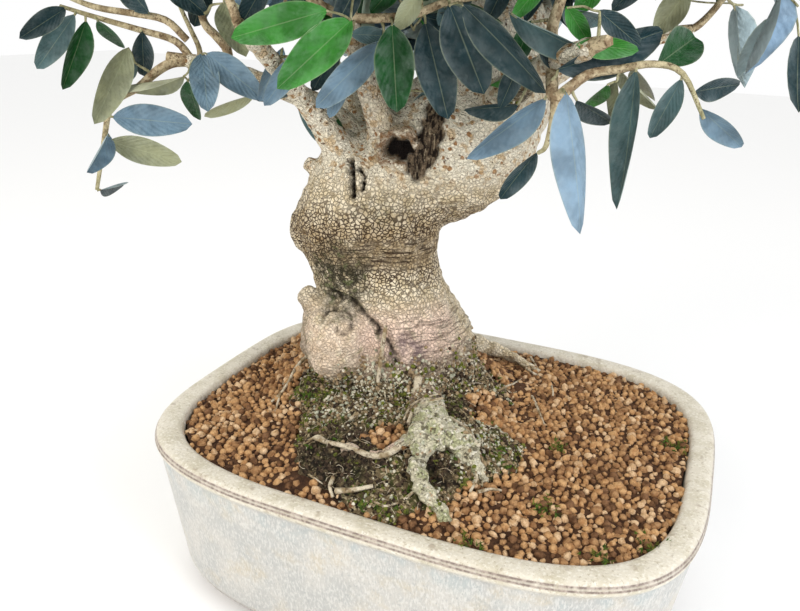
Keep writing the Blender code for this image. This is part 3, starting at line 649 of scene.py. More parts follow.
# Near-black over the green places: partly the stain's colour, partly painted shade of the undercut at the
# neck.
colour = laid_over(tree, colour, "#2f2e1d", 5 * MM, 0.25, 0.55, 0.9, marks["green"])
colour = laid_over(tree, colour, "#6d7449", 4 * MM, 0.54, 0.64, 0.7, marks["green"])
colour = laid_over(tree, colour, "#75606a", 5 * MM, 0.3, 0.6, 0.7, marks["purple"])
colour = laid_over(tree, colour, "#8f6c4a", 4 * MM, 0.3, 0.55, 0.9, marks["rust"])
wood = laid_over(tree, "#2a2018", "#8a7760", 2.2 * MM, 0.42, 0.6, 0.9, stretch=(1, 1, 6))
wood = laid_over(tree, wood, "#c4b294", 1.5 * MM, 0.62, 0.68, 0.8, stretch=(1, 1, 7))
turf = laid_over(tree, "#2b2319", "#7a6c50", 2.4 * MM, 0.4, 0.58)
turf = laid_over(tree, turf, "#d6ccb0", 1.8 * MM, 0.54, 0.62)
crust = laid_over(tree, "#d9d2b6", "#b6b78d", 8 * MM, 0.46, 0.62)
crust = laid_over(tree, crust, "#f4eedc", 3 * MM, 0.54, 0.64, 0.85)
crust = laid_over(tree, crust, "#c98a58", 5 * MM, 0.62, 0.7, 0.5)
crust = laid_over(tree, crust, "#5a523e", 3.2 * MM, 0.54, 0.63, 0.8)
# Dead wood, moss and lichen take their own colours; the hollows are painted near-black as shade.
for name, over in (("dead", wood), ("moss", turf), ("lichen", crust), ("hollow", "#150e09")):
    colour = add_node(tree, "ShaderNodeMix", {"data_type": "RGBA"}, {
        0: marks[name], 6: colour, 7: over}).outputs[2]
bumps = add_node(tree, "ShaderNodeMath", {"operation": "MULTIPLY_ADD"}, {
    0: groove, 1: -1.0, 2: patches(tree, 1.7 * MM, 0.2, 0.8, detail=4.0)}).outputs[0]
bumps = add_node(tree, "ShaderNodeMath", {"operation": "SUBTRACT"}, {
    0: bumps, 1: patches(tree, 2.0 * MM, 0.53, 0.6, 1.0, marks["wrinkled"], (7, 7, 0.8))}).outputs[0]
finish_with(tree, shader, colour, bumps, 1.2 * MM)
for made in (trunk, limbs):
    made.data.materials.append(bark)
    made.data.shade_smooth()
hand_in(trunk, "olive_bark", "trunk")
hand_in(limbs, "olive_bark", *[name for name in LIMB_NODES if name != "trunk"])
print("bark laid over", len(MARKS), "marks")

# %% [markdown]
# The crown of an olive grows outward in forks: each twig leaves its parent a little forward, bends
# to the light, and only its outer part keeps leaves. Here each mass of leaves has its own share of
# a dome with an open underside. Twig ends are scattered in that share, each as far as it can be from
# the others, and each end grows from the nearest wood there already is. Twigs of the thickness and
# count of a real tree are too many to lay out by hand, and a rule keeps every one of them attached.

# %% The crown's rule
CROWN_MIDDLE, CROWN_REACH = Vector((-4, 0, 345)), Vector((236, 210, 0))
CROWN_RISE, CROWN_DROOP = 226, 105
UNDERSIDE, FRONT_LIFT, SIDE_DROOP = 299, 0.15, 56
MASSES = {
    "left_foliage": ("left_bough", (-158, 0, 345)),
    "front_left_foliage": ("front_left_bough", (-92, -118, 372)),
    "front_right_foliage": ("front_right_bough", (92, -122, 366)),
    "right_foliage": ("right_bough", (164, -6, 366)),
    "back_right_foliage": ("back_right_bough", (100, 112, 378)),
    "back_left_foliage": ("back_left_bough", (-86, 112, 378)),
    "front_foliage": ("front_bough", (-4, -104, 446)),
    "upper_left_foliage": ("upper_left_bough", (-98, -8, 466)),
    "upper_right_foliage": ("upper_right_bough", (98, 6, 468)),
    "upper_back_foliage": ("upper_back_bough", (4, 108, 462)),
    "top_foliage": ("leader", (0, 0, 524)),
}
MIDDLES = {mass: at(*middle) for mass, (_, middle) in MASSES.items()}
LIMB_PATHS = [limb_line(limb) for limb in (*BOUGHS.values(), ELBOW)]
LIMB_BEADS = [(place, radius) for path, radii in LIMB_PATHS for place, radius in zip(path, radii)]
SEED = 23


def in_crown(point):
    """Whether a point lies in the dome and over its underside."""
    terms = tree_terms(point)
    offset = terms - CROWN_MIDDLE
    rise = CROWN_RISE if offset.z > 0 else CROWN_DROOP
    reach = math.sqrt((offset.x / CROWN_REACH.x) ** 2 + (offset.y / CROWN_REACH.y) ** 2
                      + (offset.z / rise) ** 2)
    droop = SIDE_DROOP * step(95, 175, math.hypot(terms.x, max(terms.y, 0)))
    return reach < 1 and terms.z > UNDERSIDE + FRONT_LIFT * max(0, -terms.y) - droop


def room_in(point, mass):
    """Whether a point lies in a mass's own share of the crown."""
    return in_crown(point) and min(MIDDLES, key=lambda m: (MIDDLES[m] - point).length_squared) == mass


def near_limb(point, margin):
    """Whether a point lies in a limb or closer to its bark than the margin."""
    return any((point - place).length_squared < (radius + margin) ** 2 for place, radius in LIMB_BEADS)


# %% [markdown]
# Under the crown the view is open: daylight shows between the lowest sprays. The lower edge of the
# close leaves is a line of places in the camera's frame, and the rule grows nothing under it, nor
# anything near the eye. Only the sprays that are set out one by one further on hang lower.

# %% The open view under the crown
NEAREST = 395 * MM           # nothing by the rule grows closer to the eye
OVER_FRAME = -25             # py over which everything may grow
OPEN_FROM = ((-60, 130), (60, 120), (95, 8), (260, 4), (270, 26), (300, 40), (345, 70), (400, 84),
             (470, 84), (500, 66), (545, 84), (560, 56), (585, 0), (640, 12), (680, 6), (705, 2), (740, 100),
             (860, 130))


def open_view(point, slack=0.0):
    """Whether a point shows where the view is open."""
    px, py = shown_at(point)
    if not OPEN_FROM[0][0] < px < OPEN_FROM[-1][0] or py < OVER_FRAME:
        return False
    if (point - EYE).dot(-BACK) < NEAREST:
        return True
    for (xa, ya), (xb, yb) in zip(OPEN_FROM, OPEN_FROM[1:]):
        if xa <= px < xb:
            return py + slack > ya + (yb - ya) * (px - xa) / (xb - xa)
    return False


# %% Twigs by the rule
ENDS_PER_MASS, TRIES, MASS_REACH = 34, 14, 150      # the reach in millimetres
TWIG_RADIUS, TWIG_TIP, CHILD_SHARE, STEM = 2.5 * MM, 0.65 * MM, 0.74, 14 * MM


def scatter(mass, count, draw):
    """Twig ends: each is the candidate farthest from the others."""
    middle, chosen = MIDDLES[mass], []
    while len(chosen) < count:
        found = []
        while len(found) < TRIES:
            point = middle + Vector([draw.uniform(-1, 1) for _ in range(3)]) * MASS_REACH * MM
            if room_in(point, mass) and not open_view(point, 12):
                found.append(point)
        chosen.append(max(found, key=lambda p: min(
            [(p - q).length for q in chosen] + [0.6 * (p - middle).length + 20 * MM])))
    return chosen


def twig_path(start, end, ahead, draw, steps=12):
    """A twig that leaves along its parent and bends to its end, a little arched and uneven."""
    span = (end - start).length
    pull = start + ahead * span * 0.35
    sway = Vector([draw.uniform(-1, 1) for _ in range(3)]) * span * 0.05
    return [start.lerp(pull, 2 * t * (1 - t)).lerp(end, t * t)
            + Vector((0, 0, 0.06 * span)) * math.sin(math.pi * t) + sway * math.sin(2 * math.pi * t)
            for t in (n / steps for n in range(steps + 1))]


def add_twig(twigs, joints, path, first, last):
    """Keeps a twig, and the places on it where a finer one may start."""
    radii = [first + (last - first) * k / (len(path) - 1) for k in range(len(path))]
    twigs.append((path, radii))
    for k in range(2, len(path) - 1, 2):
        joints.append((path[k], (path[k + 1] - path[k]).normalized(), radii[k] * CHILD_SHARE))


def grow_mass(mass, draw):
    """All twigs of one mass, from the stem at its bough's tip outward."""
    path, radii = limb_line(BOUGHS[MASSES[mass][0]])
    ahead = (path[-1] - path[-2]).normalized()
    stem = [path[-1] - ahead * 3 * MM, path[-1] + ahead * STEM / 2, path[-1] + ahead * STEM]
    twigs, joints = [], []
    add_twig(twigs, joints, stem, radii[-1], TWIG_RADIUS * 1.15)
    joints.append((stem[-1], ahead, TWIG_RADIUS))
    for end in sorted(scatter(mass, ENDS_PER_MASS, draw), key=lambda p: (p - stem[-1]).length):
        start, along, radius = min(joints, key=lambda j: (j[0] - end).length + 8 * MM * (j[2] < 0.9 * MM))
        way = twig_path(start, end, along, draw)
        if any(near_limb(p, 1.5 * MM) for p in way[3:]) or any(open_view(p) for p in way[4:]):
            continue
        add_twig(twigs, joints, way, radius, max(TWIG_TIP, radius * 0.5))
    return twigs


grown = {mass: grow_mass(mass, random.Random(SEED + k)) for k, mass in enumerate(MASSES)}
print("twigs:", {mass: len(twigs) for mass, twigs in grown.items()})

# %% [markdown]
# Leaves sit in opposite pairs, each pair a quarter turn from the last. They stand off the twig at
# about half a right angle and turn their upper face to the light. A leaf is kept only where it
# stays in the crown, off the limbs and clear of its neighbours. A whole spray shares one tint, as
# leaves of one age do.

# %% Leaf seats
LEAF_LENGTH, LEAF_SHAPE = 52 * MM, 0.37      # length, and width as a share of it
PAIR_STEP = 11.5 * MM
LEAFY_FROM = 0.22            # share of a twig that stays bare
TIP_PAIR = 3 * MM            # a pair this close to the twig's end is smaller and points ahead
CELL, LEAF_HEART = 7 * MM, 0.55              # one leaf's middle to a cell, and where along it that is
# The blue of blue_grey and pale_blue is partly the leaves' own grey, partly painted reflection of a blue sky.
TINTS = {                   # upper side, underside, how often a spray has it
    "blue_grey": ("#6f8a9c", "#9fb3b8", 20),
    "pale_blue": ("#8eabc4", "#b0c4cd", 7),
    "slate": ("#20393e", "#84979a", 24),
    "deep_green": ("#0e4a1a", "#8ea08a", 22),
    "bright_green": ("#3f8a35", "#9fb488", 8),
    "olive": ("#979a79", "#b8ba9c", 7),
    "grey_green": ("#4c6668", "#98a8a2", 16),
}
seats = []                  # (base, side, heading, up, width, length, tint)
taken = set()               # cells that hold the middle of a leaf


def heart_cell(base, heading, length):
    """The cell that a leaf's middle lies in."""
    return tuple(int(c // CELL) for c in base + heading * length * LEAF_HEART)


def seat_leaf(base, heading, side, width, length, tint):
    """Keeps a leaf, and takes the cell that its middle lies in."""
    seats.append((base, side, heading, side.cross(heading), width, length, tint))
    taken.add(heart_cell(base, heading, length))


def dress(twigs, draw):
    """Leaves in opposite pairs along the outer part of each twig."""
    for path, radii in twigs[1:]:
        tint = draw.choices(list(TINTS), [row[2] for row in TINTS.values()])[0]
        lengths = [(b - a).length for a, b in zip(path, path[1:])]
        total, quarter = sum(lengths), draw.uniform(0, math.pi)
        distance = total - 0.5 * MM
        while distance > total * LEAFY_FROM:
            left, k = distance, 0
            while k < len(lengths) - 1 and left > lengths[k]:
                left -= lengths[k]
                k += 1
            ahead = (path[k + 1] - path[k]).normalized()
            point = path[k] + ahead * min(left, lengths[k])
            quarter += math.pi / 2 + draw.uniform(-0.25, 0.25)
            for turn in (quarter, quarter + math.pi):
                around = Matrix.Rotation(turn, 3, ahead) @ ahead.orthogonal().normalized()
                last_pair = distance > total - TIP_PAIR
                spread = math.radians(draw.uniform(14, 30) if last_pair else draw.uniform(36, 62))
                heading = (ahead * math.cos(spread) + around * math.sin(spread)
                           + Vector((0, 0, draw.uniform(-0.22, 0.16)))).normalized()
                length = LEAF_LENGTH * draw.uniform(0.72, 1.06) * (0.8 if last_pair else 1)
                side = heading.cross(Vector((0, 0, 1)) + 0.45 * ahead).normalized()
                side = Matrix.Rotation(draw.uniform(-0.6, 0.6), 3, heading) @ side
                width = length * LEAF_SHAPE * draw.uniform(0.85, 1.1)
                base = point + heading * radii[k] * 0.6
                middle, tip = base + heading * length * 0.52, base + heading * length
                places = (base, middle, tip, middle + side * width / 2, middle - side * width / 2)
                if (heart_cell(base, heading, length) in taken or not all(in_crown(p) for p in places[1:])
                        or any(near_limb(p, 2 * MM) or open_view(p) for p in places)):
                    continue
                seat_leaf(base, heading, side, width, length,
                          tint if draw.random() < 0.86 else draw.choice(list(TINTS)))
            distance -= PAIR_STEP * draw.uniform(0.85, 1.2)


for k, twigs in enumerate(grown.values()):
    dress(twigs, random.Random(100 + SEED + k))
print(len(seats), "leaves by the rule")

# %% [markdown]
# The lowest sprays are what the eye meets first, so they are set out one by one: each line of wood,
# and each leaf by where its stalk and its tip show and how far away it hangs. A leaf that shows
# narrow is turned on its own axis, and a short one points towards the eye or away.

# %% Twigs set out by place: px, py, depth and radius in millimetres
SET_TWIGS = (
    ((190, 61, 461, 3.4), (172, 63, 459, 3.0), (156, 72, 457, 2.8), (139, 87, 455, 2.4),
     (118, 99, 453, 2.1), (109, 112, 452, 1.9), (105, 135, 450, 1.6), (97, 190, 449, 1.1)),
    ((227, 70, 463, 3.2), (227, 50, 460, 3.0), (216, 36, 457, 2.7), (204, 22, 454, 2.4),
     (196, -12, 450, 2)),
    ((200, 62, 461, 2.0), (199, 48, 457, 1.6), (190, 28, 453, 1.4), (180, 6, 450, 1.2),
     (172, -20, 448, 1.1)),
    ((192, 60, 461, 2.6), (175, 41, 456, 2.2), (140, 30, 452, 1.9), (95, 17, 449, 1.5),
     (60, 6, 447, 1.1)),
    ((187, 40, 456, 2.2), (165, 20, 452, 2.2), (130, 13, 450, 2), (95, 7, 448, 1.8), (60, -6, 447, 1.2)),
    ((232, 71, 463, 1.6), (248, 80, 461, 1.2), (255, 92, 459, 0.9)),
    ((302, -8, 392, 2.2), (322, 6, 396, 2.5), (347, 17, 408, 2.7), (383, 18, 405, 2.5),
     (415, 14, 401, 2.3), (449, 1, 398, 2), (490, -6, 397, 1.7), (530, -22, 397, 1.4)),
    ((553, 63, 384, 3.4), (552, 30, 378, 3), (562, -4, 374, 2.6), (570, -40, 372, 2)),
    ((553, 62, 384, 3.4), (552, 80, 372, 3.1), (556, 97, 362, 3), (587, 75, 362, 2.4),
     (620, 69, 360, 2), (654, 64, 357, 1.7), (683, 74, 355, 1.4), (704, 119, 354, 0.9)),
    ((555, 95, 363, 2.2), (553, 118, 362, 1.8), (546, 146, 366, 1.3), (538, 153, 370, 1)),
)


def sight_line(points):
    """A smooth line of wood through places of the frame, and its radii."""
    line = spline(points, 4)
    return [sight(px, py, depth) for px, py, depth, _ in line], [radius * MM for *_, radius in line]


set_twigs = [sight_line(points) for points in SET_TWIGS]
wood = [(p, r) for path, radii in set_twigs for p, r in zip(path, radii)]
wood += [(p, r) for twigs in grown.values() for path, radii in twigs for p, r in zip(path, radii)]
wood += [(p, 2.2 * MM) for path, _ in LIMB_PATHS[:-1] for p in path[8:]]
print(len(set_twigs), "twigs set out")

# %% Leaves set out by place: stalk px, py; tip px, py; width; depth; how much farther the tip is; tint
SET_LEAVES = (
    (112, 117, 192, 124, 36, 450, 8, "blue_grey"), (108, 141, 182, 162, 30, 449, 14, "olive"),
    (100, 190, 128, 185, 9, 449, 34, "slate"), (202, 53, 208, 113, 34, 430, -14, "blue_grey"),
    (188, 80, 197, 122, 18, 452, 34, "deep_green"), (255, 94, 204, 115, 13, 440, 14, "olive"),
    (206, 53, 263, 98, 34, 424, 6, "blue_grey"), (283, 47, 260, 103, 22, 420, 14, "blue_grey"),
    (129, 47, 96, 124, 32, 447, -8, "olive"), (136, 62, 111, 88, 16, 450, 20, "grey_green"),
    (142, 31, 144, 78, 24, 449, 26, "slate"), (97, 20, 124, 47, 13, 446, 30, "deep_green"),
    (109, 134, 95, 172, 14, 450, -28, "blue_grey"), (206, -24, 194, 28, 27, 447, 20, "slate"),
    (223, 2, 244, 52, 36, 436, -12, "olive"), (185, 76, 115, 98, 10, 447, 10, "olive"),
    (75, 14, 36, 70, 28, 446, 12, "grey_green"), (66, 8, 20, 38, 24, 446, -14, "slate"),
    (86, 20, 66, 92, 26, 450, 10, "deep_green"), (150, 14, 110, -30, 26, 446, 12, "slate"),
    (328, 10, 231, 38, 42, 364, -6, "bright_green"), (352, 19, 279, 87, 46, 372, -8, "bright_green"),
    (301, 85, 315, 145, 9, 468, 12, "grey_green"), (338, 118, 330, 169, 20, 455, 22, "deep_green"),
    (384, 40, 315, 107, 34, 410, 8, "blue_grey"), (346, 62, 330, 119, 22, 424, 14, "blue_grey"),
    (392, 24, 397, 112, 46, 398, 8, "deep_green"), (425, 22, 448, 119, 46, 400, 6, "slate"),
    (425, 90, 408, 129, 20, 440, 26, "grey_green"), (449, 4, 484, 94, 54, 388, 8, "slate"),
    (462, 4, 548, 92, 38, 372, -4, "slate"), (509, 12, 590, 66, 26, 360, 4, "grey_green"),
    (544, 60, 490, 92, 19, 386, 26, "bright_green"), (546, 98, 470, 164, 31, 372, 12, "blue_grey"),
    (519, 105, 462, 115, 20, 400, 20, "slate"), (537, 152, 500, 198, 22, 370, 26, "slate"),
    (566, 92, 583, 234, 38, 340, 4, "pale_blue"), (636, 70, 620, 210, 29, 358, 6, "grey_green"),
    (682, 78, 650, 140, 26, 356, 22, "grey_green"), (576, 44, 638, 50, 25, 352, 8, "bright_green"),
    (556, 70, 671, 35, 44, 362, 6, "slate"), (656, 66, 705, 30, 45, 366, 30, "deep_green"),
    (690, -14, 655, 35, 32, 400, 24, "olive"), (576, 100, 612, 127, 23, 360, 28, "slate"),
    (617, 80, 613, 129, 13, 362, 26, "olive"), (608, 84, 583, 112, 16, 364, 30, "bright_green"),
    (620, 70, 656, 114, 15, 360, 26, "olive"), (634, 68, 654, 98, 13, 362, 30, "olive"),
    (700, 108, 742, 150, 26, 354, 16, "blue_grey"), (694, 92, 738, 84, 24, 355, 18, "slate"),
    (352, 20, 372, 62, 22, 425, 26, "slate"), (420, 16, 512, 40, 34, 412, 10, "slate"),
    (300, -6, 262, 36, 22, 396, 30, "deep_green"), (562, 8, 606, 26, 24, 378, 30, "grey_green"),
    (350, 34, 388, 36, 20, 402, 8, "grey_green"), (340, 42, 312, 92, 24, 422, 10, "slate"),
    (302, 84, 254, 98, 14, 438, 8, "slate"), (220, -8, 272, 3, 16, 430, 6, "pale_blue"),
    (548, -24, 512, 20, 22, 378, 10, "bright_green"), (604, -16, 574, 12, 24, 374, 12, "bright_green"),
    (474, -22, 438, 26, 30, 400, 10, "grey_green"), (404, -26, 370, 14, 26, 400, 10, "deep_green"),
    (508, -22, 486, 24, 26, 392, 12, "slate"), (650, -26, 612, 10, 24, 380, 16, "slate"),
    (162, -24, 206, 14, 30, 440, 8, "slate"), (258, -34, 238, 10, 26, 436, 8, "grey_green"),
    (318, -24, 290, 22, 26, 420, 10, "slate"), (540, 40, 560, 72, 20, 366, 10, "slate"),
    (300, 56, 264, 106, 26, 396, 4, "blue_grey"), (268, -22, 238, 30, 26, 362, 6, "slate"),
    (520, 62, 500, 108, 24, 388, 8, "slate"), (532, 20, 512, 70, 24, 378, 8, "deep_green"),
    (598, 10, 640, 46, 26, 350, 8, "slate"), (566, 6, 590, 44, 22, 356, 8, "bright_green"),
    (360, -20, 334, 30, 26, 386, 8, "slate"), (420, -6, 396, 30, 24, 392, 8, "olive"),
)
STALK_STEPS, STALK_RADIUS, STALK_TIP = 8, 1.1 * MM, 0.6 * MM
draw = random.Random(7)
stalks, wanted = [], []
for px, py, qx, qy, width, depth, farther, tint in SET_LEAVES:
    base, tip = sight(px, py, depth), sight(qx, qy, depth + farther)
    heading = (tip - base).normalized()
    view = ((base + tip) / 2 - EYE).normalized()
    across = heading.cross(view).normalized()
    shown, length = 0.88 * width * (depth + farther / 2) / FOCAL * MM, (tip - base).length
    full = max(shown, length * LEAF_SHAPE * 0.92)
    tilt = math.acos(min(1.0, shown / full)) * (1 if across.z >= 0 else -1)
    side = Matrix.Rotation(tilt, 3, heading) @ across
    if side.cross(heading).dot(view) > 0:
        side = -side
    wanted.append((base, heading, side, full, length, tint))
wanted.sort(key=lambda leaf: min((leaf[0] - p).length for p, _ in wood))
for base, heading, side, width, length, tint in wanted:
    near, radius = min(wood, key=lambda w: (w[0] - base).length)
    if (near - base).length > 1.5 * MM:
        way = twig_path(near, base + heading * 1 * MM, (base - near).normalized(), draw, STALK_STEPS)
        first = min(radius, STALK_RADIUS)
        radii = [first + (STALK_TIP - first) * k / STALK_STEPS for k in range(STALK_STEPS + 1)]
        stalks.append((way, radii))
        wood += list(zip(way, radii))[2:]
    seat_leaf(base, heading, side, width, length, tint)
longest = max(sum((b - a).length for a, b in zip(way, way[1:])) for way, _ in stalks)
print(len(stalks), "stalks, the longest", round(longest / MM), "mm;", len(seats), "leaves in all")

# %% [markdown]
# A twig is a line with a thickness, so Geometry Nodes can sweep it: the mesh's edges become curves,
# a small ring is drawn along each, and its scale is the thickness that each point keeps. One tree
# serves every twig and, later, the loose rootlets, with its own number of sides as an input.

# %% Swept wood
def new_tree(name, **sockets):
    """A Geometry Nodes tree with named inputs; returns it, its input and its output node."""
    made = bpy.data.node_groups.new(name, "GeometryNodeTree")
    made.interface.new_socket("Geometry", in_out="INPUT", socket_type="NodeSocketGeometry")
    made.interface.new_socket("Geometry", in_out="OUTPUT", socket_type="NodeSocketGeometry")
    for label, kind in sockets.items():
        made.interface.new_socket(label.replace("_", " "), in_out="INPUT", socket_type="NodeSocket" + kind)
    return made, made.nodes.new("NodeGroupInput"), made.nodes.new("NodeGroupOutput")


def run_tree(made, tree, **values):
    """Sets the tree's inputs on a modifier by their identifiers, and turns the result into mesh."""
    modifier = made.modifiers.new(tree.name, "NODES")
    modifier.node_group = tree
    sockets = {s.name: s.identifier for s in tree.interface.items_tree if s.in_out == "INPUT"}
    for label, value in values.items():
        modifier[sockets[label.replace("_", " ")]] = value
    return plain(made)


def end_tree(tree, given, result, geometry):
    """Ends a tree: its instances made real, in the material that is its input Finish."""
    real = add_node(tree, "GeometryNodeRealizeInstances", inputs={"Geometry": geometry}).outputs["Geometry"]
    done = add_node(tree, "GeometryNodeSetMaterial", inputs={
        "Geometry": real, "Material": given.outputs["Finish"]}).outputs["Geometry"]
    tree.links.new(done, result.inputs["Geometry"])


sweep, given, result = new_tree("sweep", Sides="Int", Finish="Material")
thick = add_node(sweep, "GeometryNodeInputNamedAttribute", {"data_type": "FLOAT"}, {
    "Name": "thick"}).outputs["Attribute"]
curve = add_node(sweep, "GeometryNodeMeshToCurve", inputs={
    "Mesh": given.outputs["Geometry"]}).outputs["Curve"]
ring = add_node(sweep, "GeometryNodeCurvePrimitiveCircle", inputs={
    "Resolution": given.outputs["Sides"], "Radius": 1.0}).outputs["Curve"]
swept = add_node(sweep, "GeometryNodeCurveToMesh", inputs={
    "Curve": curve, "Profile Curve": ring, "Scale": thick, "Fill Caps": True}).outputs["Mesh"]
end_tree(sweep, given, result, swept)


def lines_mesh(name, lines):
    """A mesh of separate lines, each point with its thickness."""
    points, edges, thicks = [], [], []
    for path, radii in lines:
        edges += [(len(points) + k, len(points) + k + 1) for k in range(len(path) - 1)]
        points += path
        thicks += radii
    return mesh_of(name, points, edges=edges, thick=thicks)


# %% [markdown]
# Young olive wood is pale grey-green, older twigs are tan with brown freckles. The finish takes the
# age from the thickness that each point kept.

# %% Twigs
twig_bark, tree, shader = new_finish("young_olive_bark", Roughness=0.75)
shader.inputs["Specular IOR Level"].default_value = 0.3
thickness = add_node(tree, "ShaderNodeAttribute", {"attribute_name": "thick"}).outputs["Fac"]
age = add_node(tree, "ShaderNodeMapRange", {"interpolation_type": "SMOOTHSTEP"}, {
    "Value": thickness, "From Min": 0.7 * MM, "From Max": 2.4 * MM}).outputs["Result"]
young = laid_over(tree, "#8a8862", "#b9b490", 6 * MM, 0.35, 0.65)
old = laid_over(tree, "#8d775a", "#cdbb98", 5 * MM, 0.38, 0.6)
colour = add_node(tree, "ShaderNodeMix", {"data_type": "RGBA"}, {0: age, 6: young, 7: old}).outputs[2]
colour = laid_over(tree, colour, "#5b4631", 1.8 * MM, 0.57, 0.66, 0.8)
finish_with(tree, shader, colour, patches(tree, 1.6 * MM, 0.2, 0.8), 0.8 * MM)

rule_twigs = [twig for twigs in grown.values() for twig in twigs]
for name, lines, sides in (("twigs", rule_twigs, 5), ("low_twigs", set_twigs + stalks, 9)):
    made = run_tree(put(name, lines_mesh(name, lines)), sweep, Sides=sides, Finish=twig_bark)
    made.data.shade_smooth()
    hand_in(made, "olive_bark", *CROWN_NODES)

# %% [markdown]
# An olive leaf is a stiff, narrow blade with a sunk midrib, a pale fine edge and a scaly silver
# underside. The model is a closed lens a fraction of a millimetre thick, folded along its midrib
# and bent along its length. It keeps how far each point is across and along, so the finish can draw
# the midrib, and which faces are the underside. Three shapes, each turned and sized anew at its
# seat, are enough that no spray looks repeated. The low leaves have the same shapes in finer steps.

# %% Leaf shapes
BLADE = 0.012               # thickness of a leaf as a share of its length


def leaf_shape(name, rows, fold, bend, twist, halves):
    """A leaf of unit length along Y, unit width across X and its upper face up."""
    lines, across, along, faces, under = [], [], [], [], []
    for row in range(1, rows):
        t = row / rows
        half = 0.5 * math.sin(math.pi * t ** 0.88) ** (0.9 - 0.4 * t)
        turn = twist * (t - 0.5)
        span = [k / halves for k in range(-halves, halves + 1)]
        upper = [(x, fold * abs(x) ** 1.3 - fold * 0.4 * t, x) for x in span]
        lower = [(x, z - BLADE, x) for x, z, _ in upper[-2:0:-1]]
        ring = []
        for x, z, mark in upper + lower:
            wide, high = x * half, z * half * 2 - bend * t * t
            ring.append((wide * math.cos(turn), t, high + wide * math.sin(turn)))
            across.append(mark)
            along.append(t)
        lines.append(ring)
    count, top = len(lines[0]), 2 * halves
    points = [p for ring in lines for p in ring] + [(0, 0, 0), (0, 1, -bend - fold * 0.05)]
    across, along = across + [0, 0], along + [0, 1]
    root, tip = len(points) - 2, len(points) - 1
    for k in range(count):
        n = (k + 1) % count
        for low in range(0, (len(lines) - 1) * count, count):
            high = low + count
            a, b, c, d = low + k, low + n, high + n, high + k
            # Both sides of the leaf are split along one slant, so they don't cut through each other.
            slant = abs(across[k]) > abs(across[n])
            faces += [(a, b, c), (a, c, d)] if slant else [(a, b, d), (b, c, d)]
            under += [k >= top, k >= top]
        faces.append((root, n, k))
        faces.append(((len(lines) - 1) * count + k, (len(lines) - 1) * count + n, tip))
        under += [k >= top, k >= top]
    mesh = mesh_of(name, points, faces, across=across, along=along)
    mesh.attributes.new("under", "BOOLEAN", "FACE").data.foreach_set("value", under)
    rim = {root, tip} | {r * count + k for r in range(len(lines)) for k in (0, top)}
    sharp = [e.vertices[0] in rim and e.vertices[1] in rim for e in mesh.edges]
    mesh.attributes.new("sharp_edge", "BOOLEAN", "EDGE").data.foreach_set("value", sharp)
    mesh.shade_smooth()
    return mesh


LEAF_BENDS = ((0.18, 0.05, 0.0), (0.26, 0.11, 0.35), (0.12, -0.03, -0.3))      # fold, bend and twist


def leaf_kit(name, rows, halves, folded):
    """The three leaf shapes, with so many rows and so much of their fold and twist."""
    return kit_of(name, [leaf_shape(f"{name}_{k}", rows, fold * folded, bend, twist * folded, halves)
                         for k, (fold, bend, twist) in enumerate(LEAF_BENDS)])


plain_kit, fine_kit = leaf_kit("leaf", 7, 1, 1.0), leaf_kit("fine_leaf", 14, 3, 0.5)

# %% [markdown]
# The upper face is leathery and waxed, so it shines softly. The midrib is a pale line, the blade is
# a little mottled, and the edge is lighter where it is thinnest. The underside is covered in tiny
# silver scales: matt, pale, with a raised rib.

# %% Leaf finishes
VEINS = 58.0                # turns of the sine that draws the side veins, over a leaf's length


def leaf_finish(name, colour, shine, rib):
    """Leathery olive leaf, waxed above or scaly below."""
    made, tree, shader = new_finish(name, Roughness=shine, IOR=1.45)
    shader.inputs["Specular IOR Level"].default_value = 0.2
    across, along = (add_node(tree, "ShaderNodeAttribute", {"attribute_name": mark}).outputs["Fac"]
                     for mark in ("across", "along"))
    across = add_node(tree, "ShaderNodeMath", {"operation": "ABSOLUTE"}, {0: across}).outputs[0]
    pale, dark = (add_node(tree, "ShaderNodeMix", {"data_type": "RGBA"}, {
        0: share, 6: colour, 7: other}).outputs[2] for share, other in ((0.3, "#dfe8e6"), (0.55, "#07120c")))
    blade = laid_over(tree, colour, dark, 16 * MM, 0.4, 0.66, 0.7)
    blade = laid_over(tree, blade, pale, 5 * MM, 0.5, 0.75, 0.15)
    # Pale patches that grow towards the edges: partly the leaf's wax bloom, partly painted sheen.
    bloom_and_painted_sheen = patches(tree, 9 * MM, 0.35, 0.65, 0.3, across)
    blade = add_node(tree, "ShaderNodeMix", {"data_type": "RGBA"}, {0: bloom_and_painted_sheen, 6: blade, 7: pale}).outputs[2]
    for start, end, strength in ((0.92, 1.0, 0.3), (0.045, 0.01, 0.22)):     # the edge, the midrib
        line = add_node(tree, "ShaderNodeMapRange", inputs={
            "Value": across, "From Min": start, "From Max": end, "To Max": strength}).outputs["Result"]
        blade = add_node(tree, "ShaderNodeMix", {"data_type": "RGBA"}, {0: line, 6: blade, 7: rib}).outputs[2]
    vein = add_node(tree, "ShaderNodeMath", {"operation": "MULTIPLY_ADD"}, {
        0: across, 1: -0.35, 2: along}).outputs[0]
    turns = add_node(tree, "ShaderNodeMath", {"operation": "MULTIPLY"}, {0: vein, 1: VEINS}).outputs[0]
    ridge = add_node(tree, "ShaderNodeMath", {"operation": "SINE"}, {0: turns}).outputs[0]
    height = add_node(tree, "ShaderNodeMath", {"operation": "MULTIPLY_ADD"}, {
        0: ridge, 1: 0.25, 2: patches(tree, 2.5 * MM, 0.2, 0.8)}).outputs[0]
    finish_with(tree, shader, blade, height, 0.3 * MM)
    return made


